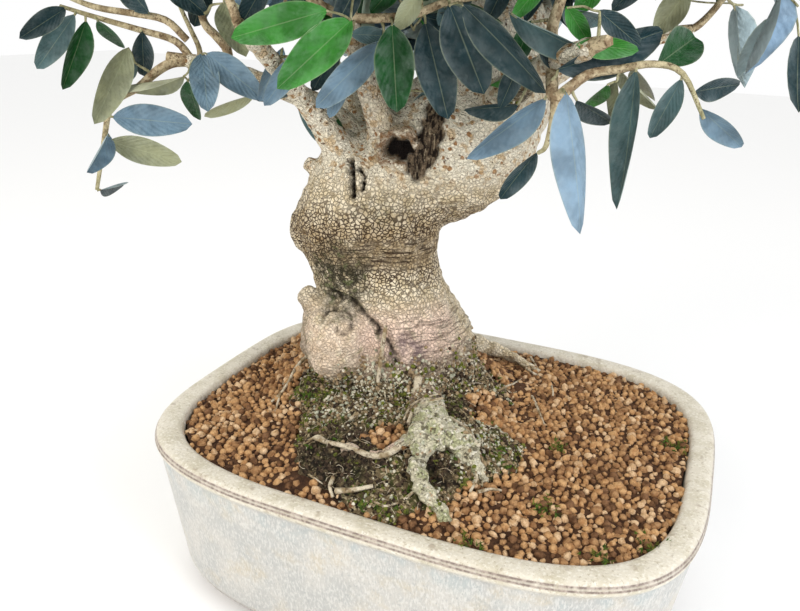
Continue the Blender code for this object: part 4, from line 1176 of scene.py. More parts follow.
spray, given, result = new_tree("leaf_spray", Shapes="Collection", Upper="Material", Underside="Material")
kinds = {name: add_node(spray, "GeometryNodeInputNamedAttribute", {"data_type": kind}, {
    "Name": name}).outputs["Attribute"] for name, kind in (
        ("turn", "FLOAT_VECTOR"), ("size", "FLOAT_VECTOR"), ("shape", "INT"), ("under", "BOOLEAN"))}
shapes = add_node(spray, "GeometryNodeCollectionInfo", inputs={
    "Collection": given.outputs["Shapes"], "Separate Children": True,
    "Reset Children": True}).outputs["Instances"]
turned = add_node(spray, "FunctionNodeEulerToRotation", inputs={"Euler": kinds["turn"]}).outputs["Rotation"]
hung = add_node(spray, "GeometryNodeInstanceOnPoints", inputs={
    "Points": given.outputs["Geometry"], "Instance": shapes, "Pick Instance": True,
    "Instance Index": kinds["shape"], "Rotation": turned, "Scale": kinds["size"]}).outputs["Instances"]
real = add_node(spray, "GeometryNodeRealizeInstances", inputs={"Geometry": hung}).outputs["Geometry"]
top = add_node(spray, "GeometryNodeSetMaterial", inputs={
    "Geometry": real, "Material": given.outputs["Upper"]}).outputs["Geometry"]
done = add_node(spray, "GeometryNodeSetMaterial", inputs={
    "Geometry": top, "Selection": kinds["under"], "Material": given.outputs["Underside"]}).outputs["Geometry"]
spray.links.new(done, result.inputs["Geometry"])


def hang_leaves(name, kit, rows, upper, underside, draw):
    """A piece of leaves, one at each seat."""
    turns, sizes, shapes = [], [], []
    for _, side, heading, up, width, length, _ in rows:
        turns.append(tuple(Matrix((side, heading, up)).transposed().to_euler()))
        sizes.append((width, length, length))
        shapes.append(float(draw.randrange(len(kit.objects))))
    seats_mesh = mesh_of(name, [row[0] for row in rows], turn=turns, size=sizes, shape=shapes)
    made = run_tree(put(name, seats_mesh), spray, Shapes=kit, Upper=upper, Underside=underside)
    for layer in ("turn", "size", "shape"):
        if layer in made.data.attributes:
            made.data.attributes.remove(made.data.attributes[layer])
    hand_in(made, "olive_leaf", *CROWN_NODES)


draw = random.Random(SEED)
groups = (("leaves_", plain_kit, seats[:-len(SET_LEAVES)]),
          ("low_leaves_", fine_kit, seats[-len(SET_LEAVES):]))
for tint, (upper_colour, under_colour, _) in TINTS.items():
    upper = leaf_finish("waxed_olive_leaf_" + tint, upper_colour, 0.42, "#b4bd9a")
    underside = leaf_finish("scaly_leaf_underside_" + tint, under_colour, 0.6, "#c9cfb4")
    for name, kit, rows in groups:
        hang_leaves(name + tint, kit, [row for row in rows if row[6] == tint], upper, underside, draw)
clear_kits(plain_kit, fine_kit)
print("leaves hung in", 2 * len(TINTS), "pieces")

# %% [markdown]
# The pot is stoneware, pressed in a mould: a long rounded rectangle with a broad flat lip, walls
# that lean in a little and a low base with two drain holes. A superellipse gives the plan. The
# section is a short list of insets and heights, smoothed, so the lip turns over as glazed clay does,
# and two fine grooves run round the lip's outer edge where the glaze has broken to brown.

# %% The pot's measures
POT_LENGTH, POT_WIDTH, POT_HEIGHT, POT_ROUNDNESS = 340 * MM, 275 * MM, 110 * MM, 3.65
LIP_WIDTH, LIP_THICKNESS, WALL_LEAN, FLOOR, FOOT_HEIGHT, FOOT_INSET = (
    size * MM for size in (15, 7, 12.5, 12, 6, 16))
WALL = 10                    # thickness, in millimetres as the section is
DRAIN_RADIUS, DRAIN_OFFSET = 10 * MM, 72 * MM
POT_SIDES, FINE_TURNS = 220, 4000


def plan_point(inset, turn):
    """A point of the pot's plan, brought in by inset."""
    c, s = math.cos(turn), math.sin(turn)
    return Vector(((POT_LENGTH / 2 - inset) * math.copysign(abs(c) ** (2 / POT_ROUNDNESS), c),
                   (POT_WIDTH / 2 - inset) * math.copysign(abs(s) ** (2 / POT_ROUNDNESS), s), 0))


def plan_share(x, y, inset=0.0):
    """Under 1 where a place lies within the lip's inner edge, brought in by inset; a power of the way."""
    return (abs(x / (POT_LENGTH / 2 - LIP_WIDTH - inset)) ** POT_ROUNDNESS
            + abs(y / (POT_WIDTH / 2 - LIP_WIDTH - inset)) ** POT_ROUNDNESS)


def even_turns(count):
    """Turns that walk the pot's plan in even steps."""
    fine = [2 * math.pi * k / FINE_TURNS for k in range(FINE_TURNS + 1)]
    walked = [0.0]
    for a, b in zip(fine, fine[1:]):
        walked.append(walked[-1] + (plan_point(0, a) - plan_point(0, b)).length)
    turns, k = [], 0
    for n in range(count):
        while walked[k] < walked[-1] * n / count:
            k += 1
        turns.append(fine[k])
    return turns


def wall_inset(z):
    """How far the outer wall stands in from the lip's edge at height z."""
    top = POT_HEIGHT - LIP_THICKNESS
    return 1.5 * MM + WALL_LEAN * (top - z) / (top - FOOT_HEIGHT)


TURNS = even_turns(POT_SIDES)
print("pot", POT_LENGTH, "x", POT_WIDTH, "x", POT_HEIGHT)

# %% The pot
def on_wall(wall_height, inwards, z, brown):
    """A row of the section: as far in as the outer wall at wall_height, and inwards of it."""
    return wall_inset(wall_height * MM) / MM + inwards, z, brown


FOOT = (wall_inset(FOOT_HEIGHT) + FOOT_INSET) / MM
SECTION = (                 # inset, height, brown of the glaze, millimetres
    (FOOT + 1.5, 0.0, 1.0), (FOOT, 1.0, 1.0), (FOOT, 5.6, 1.0), (28.1, 6.0, 0.3),      # the foot
    on_wall(10, 4.5, 9.2, 0.9), on_wall(12, 1.8, 12.5, 0.6),
    *(on_wall(z, 0, z, 0) for z in (19, 40, 70, 96)),
    (2.2, 99.5, 0), (1.3, 101.5, 0.1), (0.75, 102.4, 0.1), (0.3, 103.4, 0), (0.05, 104.4, 0),
    (0.0, 105.0, 0.1), (0.05, 105.6, 1), (0.35, 106.1, 1), (0.3, 106.6, 0.45), (0.35, 107.1, 0.4),
    (0.75, 107.6, 1), (1.0, 108.1, 1), (1.1, 108.6, 0.2), (2.0, 109.3, 0), (3.2, 109.8, 0),
    (5.0, 110.0, 0), (8.5, 109.9, 0), (12.0, 109.5, 0.02), (13.8, 108.8, 0.1), (14.7, 107.5, 0.25),
    (15.2, 105.5, 0.2), (16.0, 102, 0.1),
    on_wall(60, WALL, 60, 0.2), on_wall(30, WALL, 30, 0.2), on_wall(18, WALL + 12, 18, 0.2))
HAND_WAVE, LIP_WAVE = 0.35, 0.3      # how unevenly the walls and the lip came out of the mould


def pot_mesh():
    """The pot's skin, with the brown of its glaze at each point."""
    points, faces, brown = [], [], []
    for inset, z, mark in SECTION:
        for turn in TURNS:
            wave = HAND_WAVE * noise.noise(plan_point(0, turn) * 22 + Vector((0, 0, z * 0.01)))
            p = plan_point((inset + wave * step(2, 12, z)) * MM, turn)
            points.append((p.x, p.y, z * MM + (LIP_WAVE * MM * noise.noise(p * 18) if 98 < z < 112 else 0)))
            brown.append(mark)
    last = (len(SECTION) - 1) * POT_SIDES
    for low in range(0, last, POT_SIDES):
        high = low + POT_SIDES
        for k in range(POT_SIDES):
            n = (k + 1) % POT_SIDES
            faces.append((low + k, low + n, high + n, high + k))
    faces.append(tuple(reversed(range(POT_SIDES))))
    faces.append(tuple(range(last, last + POT_SIDES)))
    return mesh_of("pot_glazed", points, faces, brown=brown)


pot = put("pot_glazed", pot_mesh())
for side in (-1, 1):
    bm = bmesh.new()
    place = Matrix.Translation((side * DRAIN_OFFSET, 0, (FLOOR + FOOT_HEIGHT) / 2))
    bmesh.ops.create_cone(bm, cap_ends=True, segments=40, radius1=DRAIN_RADIUS, radius2=DRAIN_RADIUS,
                          depth=3 * FLOOR, matrix=place)
    drill = put("drill", mesh_from("drill", bm))
    hole = pot.modifiers.new("hole", "BOOLEAN")
    hole.operation, hole.solver, hole.object = "DIFFERENCE", "EXACT", drill
    plain(pot)
    bpy.data.objects.remove(drill)
pot.data.shade_smooth()
pot.data.set_sharp_from_angle(angle=math.radians(50))
print("pot:", len(pot.data.polygons), "faces")

# %% [markdown]
# The glaze is an oatmeal one, thick and runny: it breaks to cream where it is thin, on the lip, and
# gathers into white flecks that have crept downward on the walls, over a grey-green body. Where an
# edge or a groove thins it to nothing, the iron in the clay shows brown. The flecks are noise drawn
# out along the height, a few millimetres wide, as coarse as they need to be to show.

# %% Oatmeal glaze
glaze, tree, shader = new_finish("oatmeal_glazed_stoneware", Roughness=0.42, IOR=1.5)
spot = add_node(tree, "ShaderNodeTexCoord").outputs["Object"]
height = add_node(tree, "ShaderNodeSeparateXYZ", inputs={"Vector": spot}).outputs["Z"]
brown = add_node(tree, "ShaderNodeAttribute", {"attribute_name": "brown"}).outputs["Fac"]
wall = add_node(tree, "ShaderNodeMapRange", {"interpolation_type": "SMOOTHSTEP"}, {
    "Value": height, "From Min": 104.5 * MM, "From Max": 100 * MM}).outputs["Result"]
shoulder = add_node(tree, "ShaderNodeMapRange", {"interpolation_type": "SMOOTHSTEP"}, {
    "Value": height, "From Min": 78 * MM, "From Max": 100 * MM}).outputs["Result"]
body = laid_over(tree, "#bfbcb5", "#b0b0ac", 30 * MM, 0.36, 0.6)
body = laid_over(tree, body, "#c0b49c", 22 * MM, 0.5, 0.7, 0.6)
body = laid_over(tree, body, "#a6b0b0", 14 * MM, 0.44, 0.64, 0.6, shoulder)
body = laid_over(tree, body, "#d5d3cd", 1.1 * MM, 0.46, 0.62, 0.55, stretch=(1, 1, 3))
body = laid_over(tree, body, "#979b99", 1.0 * MM, 0.56, 0.66, 0.45, stretch=(1, 1, 2.6))
lip = laid_over(tree, "#d6cfbe", "#c4bca6", 16 * MM, 0.4, 0.66)
lip = laid_over(tree, lip, "#e6e1d4", 1.8 * MM, 0.5, 0.66, 0.7)
lip = laid_over(tree, lip, "#a3967c", 1.6 * MM, 0.58, 0.68, 0.6)
lip = laid_over(tree, lip, "#8d7a63", 7 * MM, 0.6, 0.72, 0.5)
iron = laid_over(tree, "#6f5f57", "#a3958a", 2.5 * MM, 0.4, 0.62)
colour = add_node(tree, "ShaderNodeMix", {"data_type": "RGBA"}, {0: wall, 6: lip, 7: body}).outputs[2]
colour = laid_over(tree, colour, iron, 7 * MM, 0.15, 0.42, 0.92, brown)
grained = add_node(tree, "ShaderNodeMath", {"operation": "MULTIPLY_ADD"}, {
    0: patches(tree, 1.8 * MM, 0.42, 0.62, stretch=(1, 1, 2.4)), 1: 0.35,
    2: patches(tree, 7 * MM, 0.2, 0.8)}).outputs[0]
finish_with(tree, shader, colour, grained, 0.4 * MM)
pot.data.materials.append(glaze)
hand_in(pot, "glazed_stoneware", "pot")

# %% [markdown]
# Under the tree the soil rises to a mound, the old root ball that it came with. The ground's height
# is one function of place, shared by the soil, the moss on it and everything that lies there.

# %% The ground
SOIL_EDGE, SOIL_DOME, MOUND_HEIGHT = POT_HEIGHT - 4.5 * MM, 5 * MM, 14 * MM
GROUND = SOIL_EDGE + SOIL_DOME + MOUND_HEIGHT
# Places round the tree in its own terms: a middle, and how far the place reaches in u and v.
BALL_MIDDLE, BALL_REACH = (8, -66), (82, 98)
FOOT_REACH = (62, 57)
MOSS_MIDDLE = (5, -50)


def ground_height(x, y):
    """Height of the soil: level at the pot's wall, a little domed, and raised round the tree."""
    reach = plan_share(x, y) ** (1 / POT_ROUNDNESS)
    dome = SOIL_DOME * (1 - step(0.45, 1.0, reach))
    u, v, _ = tree_terms(Vector((x, y, 0)))
    ball = math.hypot((u - BALL_MIDDLE[0]) / BALL_REACH[0], (v - BALL_MIDDLE[1]) / BALL_REACH[1])
    foot = math.hypot(u / FOOT_REACH[0], v / FOOT_REACH[1])
    mound = max(1 - step(0.3, 1.0, ball), 1 - step(1.0, 1.42, foot)) * (1 - step(0.93, 1.0, reach))
    return SOIL_EDGE + dome + (GROUND - SOIL_EDGE - dome) * mound


BARE_PLACES = ((-3, -96, 14), (64, -44, 17), (84, -60, 21), (56, -60, 11))      # u, v, reach


def mossy(u, v):
    """How far inside the moss a place is: 1 on it, 0 outside or where grains lie bare, ragged between."""
    right, back = u - MOSS_MIDDLE[0], v - MOSS_MIDDLE[1]
    turn = math.atan2(back, right)
    wide, deep = (94 if -1.4 < turn < -0.1 else 80), (108 if turn < 0 else 112)
    reach = 1 / math.hypot(math.cos(turn) / wide, math.sin(turn) / deep)
    wave = noise.noise(Vector((u, v, 0)) / 9)
    ragged = 0.9 + 0.05 * math.sin(3 * turn + 1) + 0.035 * math.sin(7 * turn) + 0.07 * wave
    bare = max(1 - step(0.8, 1.05, math.hypot(u - a, v - b) / r + 0.3 * wave) for a, b, r in BARE_PLACES)
    return (1 - step(0.94, 1.0, math.hypot(right, back) / (reach * ragged))) * (1 - bare)


def under_trunk(u, v):
    """Whether the trunk stands on a place."""
    return math.hypot(u / TRUNK_FOOT[0], v / TRUNK_FOOT[1]) < 0.93


print("ground", round(GROUND / MM, 1), "mm over the table at the trunk")

# %% [markdown]
# Akadama is baked clay, sifted to grains of a few millimetres: soft-edged, matt, orange when dry and
# brown when damp. The nodes scatter seats no closer than a grain's width over a sheet that follows
# the ground, put one of six lumpy grain shapes on each, turned any way, and keep one tint at a time.
# The four tints of a layer share its seats and its seed, so each seat gets one grain. A lower layer
# fills the gaps, and the soil itself lies under both, painted dark brown as the shade deep in the gaps.

# %% Grain shapes
def grain_shape(name, seed):
    """A lump of unit width with two dozen faces."""
    bm = bmesh.new()
    bmesh.ops.create_cube(bm, size=1)
    bmesh.ops.subdivide_edges(bm, edges=bm.edges, cuts=1, use_grid_fill=True)
    for vert in bm.verts:
        p = vert.co.normalized()
        broad = noise.noise(p * 1.3 + Vector((seed * 5.1, 0, 0)))
        fine = noise.noise(p * 3.1 + Vector((0, seed, 0)))
        vert.co = p * 0.5 * (1 + 0.4 * broad + 0.16 * fine)
    mesh = mesh_from(name, bm)
    mesh.shade_smooth()
    return mesh


grain_kit = kit_of("grain_kit", [grain_shape(f"grain_{k}", k + 1) for k in range(6)])


def sheet(name, spacing, lift, weight, low=(-170, -138), high=(170, 138)):
    """A sheet over the ground, with a weight from 0 to 1 for what is scattered on it."""
    across = [low[0] + spacing * k for k in range(int((high[0] - low[0]) / spacing) + 1)]
    down = [low[1] + spacing * k for k in range(int((high[1] - low[1]) / spacing) + 1)]
    points = [Vector((x * MM, y * MM, ground_height(x * MM, y * MM) + lift * MM))
              for y in down for x in across]
    wide = len(across)
    faces = [(r * wide + c, r * wide + c + 1, (r + 1) * wide + c + 1, (r + 1) * wide + c)
             for r in range(len(down) - 1) for c in range(wide - 1)]
    return put(name, mesh_of(name, points, faces, weight=[weight(p) for p in points]))


def soil_weight(p):
    """1 on open soil, 0 under the moss, the trunk and past the lip."""
    u, v, _ = tree_terms(p)
    return 0.0 if plan_share(p.x, p.y, 1.6 * MM) > 1 or under_trunk(u, v) else 1 - mossy(u, v)


# %% The scatter tree
MOST_SEATS = 160000.0       # for each square metre, more than the spacing ever leaves room for
strew, given, result = new_tree("strew", Shapes="Collection", Spacing="Float", Small="Float", Large="Float",
                                Seed="Int", From="Float", To="Float", Finish="Material")
weight = add_node(strew, "GeometryNodeInputNamedAttribute", {"data_type": "FLOAT"}, {
    "Name": "weight"}).outputs["Attribute"]
spots = add_node(strew, "GeometryNodeDistributePointsOnFaces", {"distribute_method": "POISSON"}, {
    "Mesh": given.outputs["Geometry"], "Distance Min": given.outputs["Spacing"], "Density Max": MOST_SEATS,
    "Density Factor": weight, "Seed": given.outputs["Seed"]})
shapes = add_node(strew, "GeometryNodeCollectionInfo", inputs={
    "Collection": given.outputs["Shapes"], "Separate Children": True,
    "Reset Children": True}).outputs["Instances"]
turn = add_node(strew, "FunctionNodeRandomValue", {"data_type": "FLOAT_VECTOR"}, {
    0: (0, 0, 0), 1: (6.28, 6.28, 6.28), "Seed": 1}).outputs[0]
turn = add_node(strew, "FunctionNodeEulerToRotation", inputs={"Euler": turn}).outputs[0]
size = add_node(strew, "FunctionNodeRandomValue", {"data_type": "FLOAT"}, {
    2: given.outputs["Small"], 3: given.outputs["Large"], "Seed": 2}).outputs[1]
pick = add_node(strew, "FunctionNodeRandomValue", {"data_type": "INT"}, {4: 0, 5: 5, "Seed": 3}).outputs[2]
tint = add_node(strew, "FunctionNodeRandomValue", {"data_type": "FLOAT"}, {
    2: 0.0, 3: 1.0, "Seed": 4}).outputs[1]
over = add_node(strew, "FunctionNodeCompare", {"operation": "GREATER_EQUAL"}, {
    0: tint, 1: given.outputs["From"]}).outputs[0]
below = add_node(strew, "FunctionNodeCompare", {"operation": "LESS_THAN"}, {
    0: tint, 1: given.outputs["To"]}).outputs[0]
chosen = add_node(strew, "FunctionNodeBooleanMath", {"operation": "AND"}, {0: over, 1: below}).outputs[0]
lumpy = add_node(strew, "FunctionNodeRandomValue", {"data_type": "FLOAT_VECTOR"}, {
    0: (0.75, 0.75, 0.62), 1: (1.2, 1.2, 1.05), "Seed": 5}).outputs[0]
scale = add_node(strew, "ShaderNodeVectorMath", {"operation": "SCALE"}, {0: lumpy, "Scale": size}).outputs[0]
laid = add_node(strew, "GeometryNodeInstanceOnPoints", inputs={
    "Points": spots.outputs["Points"], "Selection": chosen, "Instance": shapes, "Pick Instance": True,
    "Instance Index": pick, "Rotation": turn, "Scale": scale}).outputs["Instances"]
end_tree(strew, given, result, laid)


def clay_finish(name, dark, light, size):
    """Baked clay: matt and dusty, mottled, with fine dark pits."""
    made, tree, shader = new_finish(name, Roughness=0.93, IOR=1.5)
    shader.inputs["Specular IOR Level"].default_value = 0.2
    colour = laid_over(tree, dark, light, size, 0.32, 0.62)
    colour = laid_over(tree, colour, dark, 1.2 * MM, 0.56, 0.66, 0.6)
    finish_with(tree, shader, colour, patches(tree, 1.1 * MM, 0.2, 0.8, detail=4.0), 0.9 * MM)
    return made


# %% Akadama
CLAY = {                    # dark and light colour, and from which draw to which a grain has them
    "akadama_pale": ("#c49c70", "#eccaa0", 0.0, 0.2),
    "akadama_orange": ("#ae7f52", "#d9ad7a", 0.2, 0.52),
    "akadama_brown": ("#906743", "#bb9165", 0.52, 0.83),
    "akadama_damp": ("#5b3e28", "#8b6647", 0.83, 1.01),
}
LAYERS = (                  # name; spacing, lift, smallest and largest grain in millimetres; seed
    ("top", 3.7, 0.5, 3.0, 6.2, 11),
    ("under", 3.1, -1.1, 2.8, 5.0, 12),
)
clays = {name: clay_finish("baked_clay_" + name, dark, light, 4 * MM)
         for name, (dark, light, _, _) in CLAY.items()}
for layer, spacing, lift, small, large, seed in LAYERS:
    for name, (_, _, low, high) in CLAY.items():
        made = sheet(f"{name}_{layer}", 3.5, lift, soil_weight)
        made = run_tree(made, strew, Shapes=grain_kit, Spacing=spacing * MM, Small=small * MM,
                        Large=large * MM, Seed=seed, From=low, To=high, Finish=clays[name])
        hand_in(made, "akadama")

# The soil itself is a copy of its solid, let down a little so that the grains stand proud of it.
# Its dark brown is painted shade for the gaps between the grains.
BED_TOP, BED_DROP = GROUND - 12 * MM, 2.6 * MM
damp_soil = clay_finish("damp_soil", "#3a261a", "#5c402c", 5 * MM)
solid = frame["nodes"]["soil"]
bed_mesh = solid.data.copy()
bed_mesh.transform(solid.matrix_world)
for vert in bed_mesh.vertices:
    if vert.co.z > BED_TOP:
        vert.co.z -= BED_DROP
bed = put("soil_bed", bed_mesh)
bed_mesh.materials.clear()
bed_mesh.materials.append(damp_soil)
hand_in(bed, "akadama", "soil")

# %% [markdown]
# The old root ball is bound by peat, moss, lichen and a felt of dead fine roots. A lumpy mat follows
# the mound and dips into the soil at its ragged edge. Crumbs of peat, bark and lichen and small
# tufts of moss are strewn over it and up the foot of the trunk by the same nodes as the grains, each
# kind thick in some places and thin in others.

# %% The mat on the root ball
MAT_STEP, MAT_CORNER, MAT_SIZE = 1.3, (-80, -164), (172, 226)
# Places on the root ball: u, v and reach.
GREEN_PLACES = ((-62, -40, 26), (-50, -80, 22), (5, -150, 30), (48, -138, 26), (-20, -140, 22),
                (70, -100, 22), (62, 40, 20), (-40, 55, 30), (20, 62, 30))
PALE_PLACES = ((-20, -70, 44), (40, -130, 34), (0, -50, 40), (60, -80, 30))
HOLLOW = (26, -121, 15)     # between the two legs of the big surface root
DARK_PLACES = ((-32, -108, 46), (-50, -95, 24), (10, -135, 18), HOLLOW, (40, -58, 16))
PEAT_BANK = (-32, -108, 36)      # where the mat itself is darkest and roughest


def way_from(place, u, v):
    """How far u, v lies from a place, as a share of its reach."""
    return math.hypot(u - place[0], v - place[1]) / place[2]


def hollow_at(u, v):
    """1 in the dip under the surface root, where the mat is painted dark as shade; 0 away from it."""
    return 1 - step(0.45, 1.0, way_from(HOLLOW, u, v))


mat_points, mat_faces, mat_peat_and_shade, rows = [], [], [], {}
for j in range(int(MAT_SIZE[1] / MAT_STEP)):
    for i in range(int(MAT_SIZE[0] / MAT_STEP)):
        u, v = MAT_CORNER[0] + i * MAT_STEP, MAT_CORNER[1] + j * MAT_STEP
        p = at(u, v, 0)
        cover = mossy(u, v)
        if cover <= 0 or plan_share(p.x, p.y, 0.8 * MM) > 1:
            continue
        flat = Vector((u, v, 0))
        lump = 3.0 * waves(flat, 13, 21) + 2.6 * waves(flat, 6, 22) + 1.5 * waves(flat, 2.8, 23)
        rise = (1.6 + lump) * cover - 3.5 * (1 - cover) - 2.0 * hollow_at(u, v)
        bank = 1 - step(0.4, 1.0, way_from(PEAT_BANK, u, v) + 0.25 * waves(flat, 9, 24))
        # The peat bank is dark peat; the dip under the surface root is painted dark as shade.
        dark = max(hollow_at(u, v), bank)
        rise += dark * (1.6 * waves(flat, 4.5, 25) + 1.0 * waves(flat, 2.4, 26))
        rows[i, j] = len(mat_points)
        mat_points.append((p.x, p.y, ground_height(p.x, p.y) + rise * MM))
        mat_peat_and_shade.append(dark)
for (i, j), k in rows.items():
    corner = [rows.get(key) for key in ((i, j), (i + 1, j), (i + 1, j + 1), (i, j + 1))]
    if None not in corner:
        mat_faces.append(tuple(corner))
mat = put("root_ball_mat", mesh_of("root_ball_mat", mat_points, mat_faces, gloom=mat_peat_and_shade))
print("mat:", len(mat_faces), "faces")

# %% Peat, moss and lichen
felt, tree, shader = new_finish("peat_and_moss", Roughness=0.95)
shader.inputs["Specular IOR Level"].default_value = 0.2
gloom = add_node(tree, "ShaderNodeAttribute", {"attribute_name": "gloom"}).outputs["Fac"]
colour = laid_over(tree, "#241b13", "#7a6a4e", 3.4 * MM, 0.38, 0.58)
colour = laid_over(tree, colour, "#4a4d29", 11 * MM, 0.5, 0.62, 0.8)
colour = laid_over(tree, colour, "#c4b490", 1.8 * MM, 0.54, 0.62, 0.85)
# Near-black over the peat bank, which is dark peat, and over the dip under the surface root, where it is
# painted shade.
colour = laid_over(tree, colour, "#1f1914", 4 * MM, 0.3, 0.62, 0.95, gloom)
finish_with(tree, shader, colour, patches(tree, 1.3 * MM, 0.1, 0.9, detail=5.0), 1.6 * MM)
mat.data.materials.append(felt)
hand_in(mat, "moss", "moss_left", "moss_right")

# %% Crumb and tuft shapes
def crumb_shape(name, seed):
    """A lump of unit width with twenty faces."""
    bm = bmesh.new()
    bmesh.ops.create_icosphere(bm, subdivisions=1, radius=0.5)
    for vert in bm.verts:
        vert.co *= 1 + 0.6 * noise.noise(vert.co * 3 + Vector((seed * 3.7, 0, 0)))
    return mesh_from(name, bm)


def tuft_shape(name, seed):
    """Six small shoots from one foot, of unit height."""
    draw, bm = random.Random(seed), bmesh.new()
    for _ in range(6):
        lean = Matrix.Rotation(draw.uniform(0, 6.28), 3, "Z")
        lean = lean @ Matrix.Rotation(draw.uniform(0.1, 0.9), 3, "X")
        tip = bm.verts.new(lean @ Vector((0, 0, draw.uniform(0.7, 1.0))))
        foot = [bm.verts.new(lean @ Vector((0.13 * math.cos(a), 0.13 * math.sin(a), -0.1)))
                for a in (0, 2.09, 4.19)]
        for a, b in ((0, 1), (1, 2), (2, 0)):
            bm.faces.new((foot[a], foot[b], tip))
        bm.faces.new(reversed(foot))
    return mesh_from(name, bm)


crumb_kit = kit_of("crumb_kit", [crumb_shape(f"crumb_{k}", k) for k in range(3)])
tuft_kit = kit_of("tuft_kit", [tuft_shape(f"tuft_{k}", k) for k in range(3)])

# %% Where each kind lies
# The crumbs lie on the mat and on the mossy part of the trunk.
foot_moss = [value.value for value in trunk.data.attributes["moss"].data]
kept, foot_points, carrier_faces = {}, [], []
for face in (tuple(p.vertices) for p in trunk.data.polygons):
    if min(foot_moss[k] for k in face) > 0.05:
        for k in face:
            if k not in kept:
                kept[k] = len(foot_points)
                foot_points.append((trunk.data.vertices[k].co.copy(), foot_moss[k]))
        carrier_faces.append(tuple(len(mat_points) + kept[k] for k in face))
carrier_points = [Vector(p) for p in mat_points] + [p for p, _ in foot_points]
carrier_moss = [mossy(*tree_terms(Vector(p)).xy) for p in mat_points] + [value for _, value in foot_points]


def zone(point, places):
    """1 near any of the places, given as u, v, reach, and 0 away from them."""
    u, v, _ = tree_terms(point)
    return max(1 - step(0.4, 1.0, way_from(place, u, v)) for place in places)


def patchy(point, size, seed):
    """Ragged patches of 1 and 0, about size millimetres wide."""
    return step(-0.15, 0.3, waves(tree_terms(point), size, seed))


CRUMB_SPACING = 1.9 * MM
CRUMBS = {                  # colours, size range, share of the mat: plain, green, pale and dark places
    "peat": ("#1d1610", "#5a4a3a", 1.5, 4.0, (0.6, 0.4, 0.3, 1.0)),
    "bark_crumb": ("#77634a", "#b39c79", 1.2, 3.6, (0.9, 0.35, 0.9, 0.22)),
    "lichen": ("#9a9c85", "#d3d2ba", 1.1, 3.0, (0.4, 0.2, 0.8, 0.06)),
    "pale_crumb": ("#c3b697", "#f0e9d5", 0.9, 2.8, (0.7, 0.2, 1.0, 0.06)),
    "moss_crumb": ("#3f451d", "#7b8038", 1.4, 3.6, (0.4, 1.0, 0.35, 0.15)),
}
for k, (name, (dark, light, small, large, shares)) in enumerate(CRUMBS.items()):
    weights = []
    for point, cover in zip(carrier_points, carrier_moss):
        green, pale, shade = zone(point, GREEN_PLACES), zone(point, PALE_PLACES), zone(point, DARK_PLACES)
        rest = max(0.0, 1 - green - pale - shade)
        total = green + pale + shade + rest
        value = (shares[0] * rest + shares[1] * green + shares[2] * pale + shares[3] * shade) / total
        # Crumbs thin out in the dip under the surface root, where the mat is painted dark as shade, and light
        # crumbs thin out over the dark peat.
        gloom = 1 - hollow_at(*tree_terms(point).xy)
        if name == "peat":
            gloom = 1 if len(weights) < len(mat_points) else 0.3
        else:
            gloom *= 1 - 0.85 * shade
        weights.append(min(1.0, gloom * cover * value * (0.3 + 1.0 * patchy(point, 9, 30 + k))))
    carrier = mesh_of("crumbs_" + name, carrier_points, mat_faces + carrier_faces, weight=weights)
    crumb = clay_finish("crumbs_of_" + name, dark, light, 2.5 * MM)
    made = run_tree(put("crumbs_" + name, carrier), strew, Shapes=crumb_kit, Spacing=CRUMB_SPACING,
                    Small=small * MM, Large=large * MM, Seed=40 + k, From=0.0, To=1.01, Finish=crumb)
    hand_in(made, "moss")

# %% Tufts
CUSHIONS = [tree_terms(sight_down(px, py, 0.111)).xy for px, py in (     # small ones out on the grains
    (675, 440), (600, 550), (560, 450), (650, 540), (470, 540), (545, 505))]


def tuft_weight(point):
    """How thick the moss shoots stand: full on the cushions and the green places, thin elsewhere."""
    u, v, _ = tree_terms(point)
    ragged = 4 * waves(Vector((u, v, 0)), 4, 50)
    near = max(1 - step(4, 10, (Vector((u, v)) - middle).length + ragged) for middle in CUSHIONS)
    return max(near, mossy(u, v) * (0.05 + 0.95 * zone(point, GREEN_PLACES) * patchy(point, 8, 51)))


for k, (name, dark, light) in enumerate((("olive", "#4f5220", "#7d8238"), ("green", "#35471c", "#5f7a2c"))):
    shoots = clay_finish("moss_shoots_" + name, dark, light, 2.5 * MM)
    made = sheet("tufts_" + name, 3.0, 2.6, tuft_weight, (-160, -128), (160, 128))
    made = run_tree(made, strew, Shapes=tuft_kit, Spacing=CRUMB_SPACING, Small=2.6 * MM, Large=5.2 * MM,
                    Seed=60 + k, From=0.45 * k, To=0.45 + 0.6 * k, Finish=shoots)
    hand_in(made, "moss")
clear_kits(grain_kit, crumb_kit, tuft_kit)

# %% [markdown]
# Dead fine roots, washed bare by years of watering, lie over the root ball and the soil. They are
# swept by the same nodes as the twigs. Those that catch the eye are laid by place, each on the
# ground under it, and a felt of hair-fine ones is drawn at random over the mat.

# %% Loose roots
def lying(px, py, lift):
    """The point of the ground that shows at px, py, raised by lift millimetres."""
    point = sight_down(px, py, 0.115)
    for _ in range(6):
        point = sight_down(px, py, ground_height(point.x, point.y) + lift * MM)
    return point


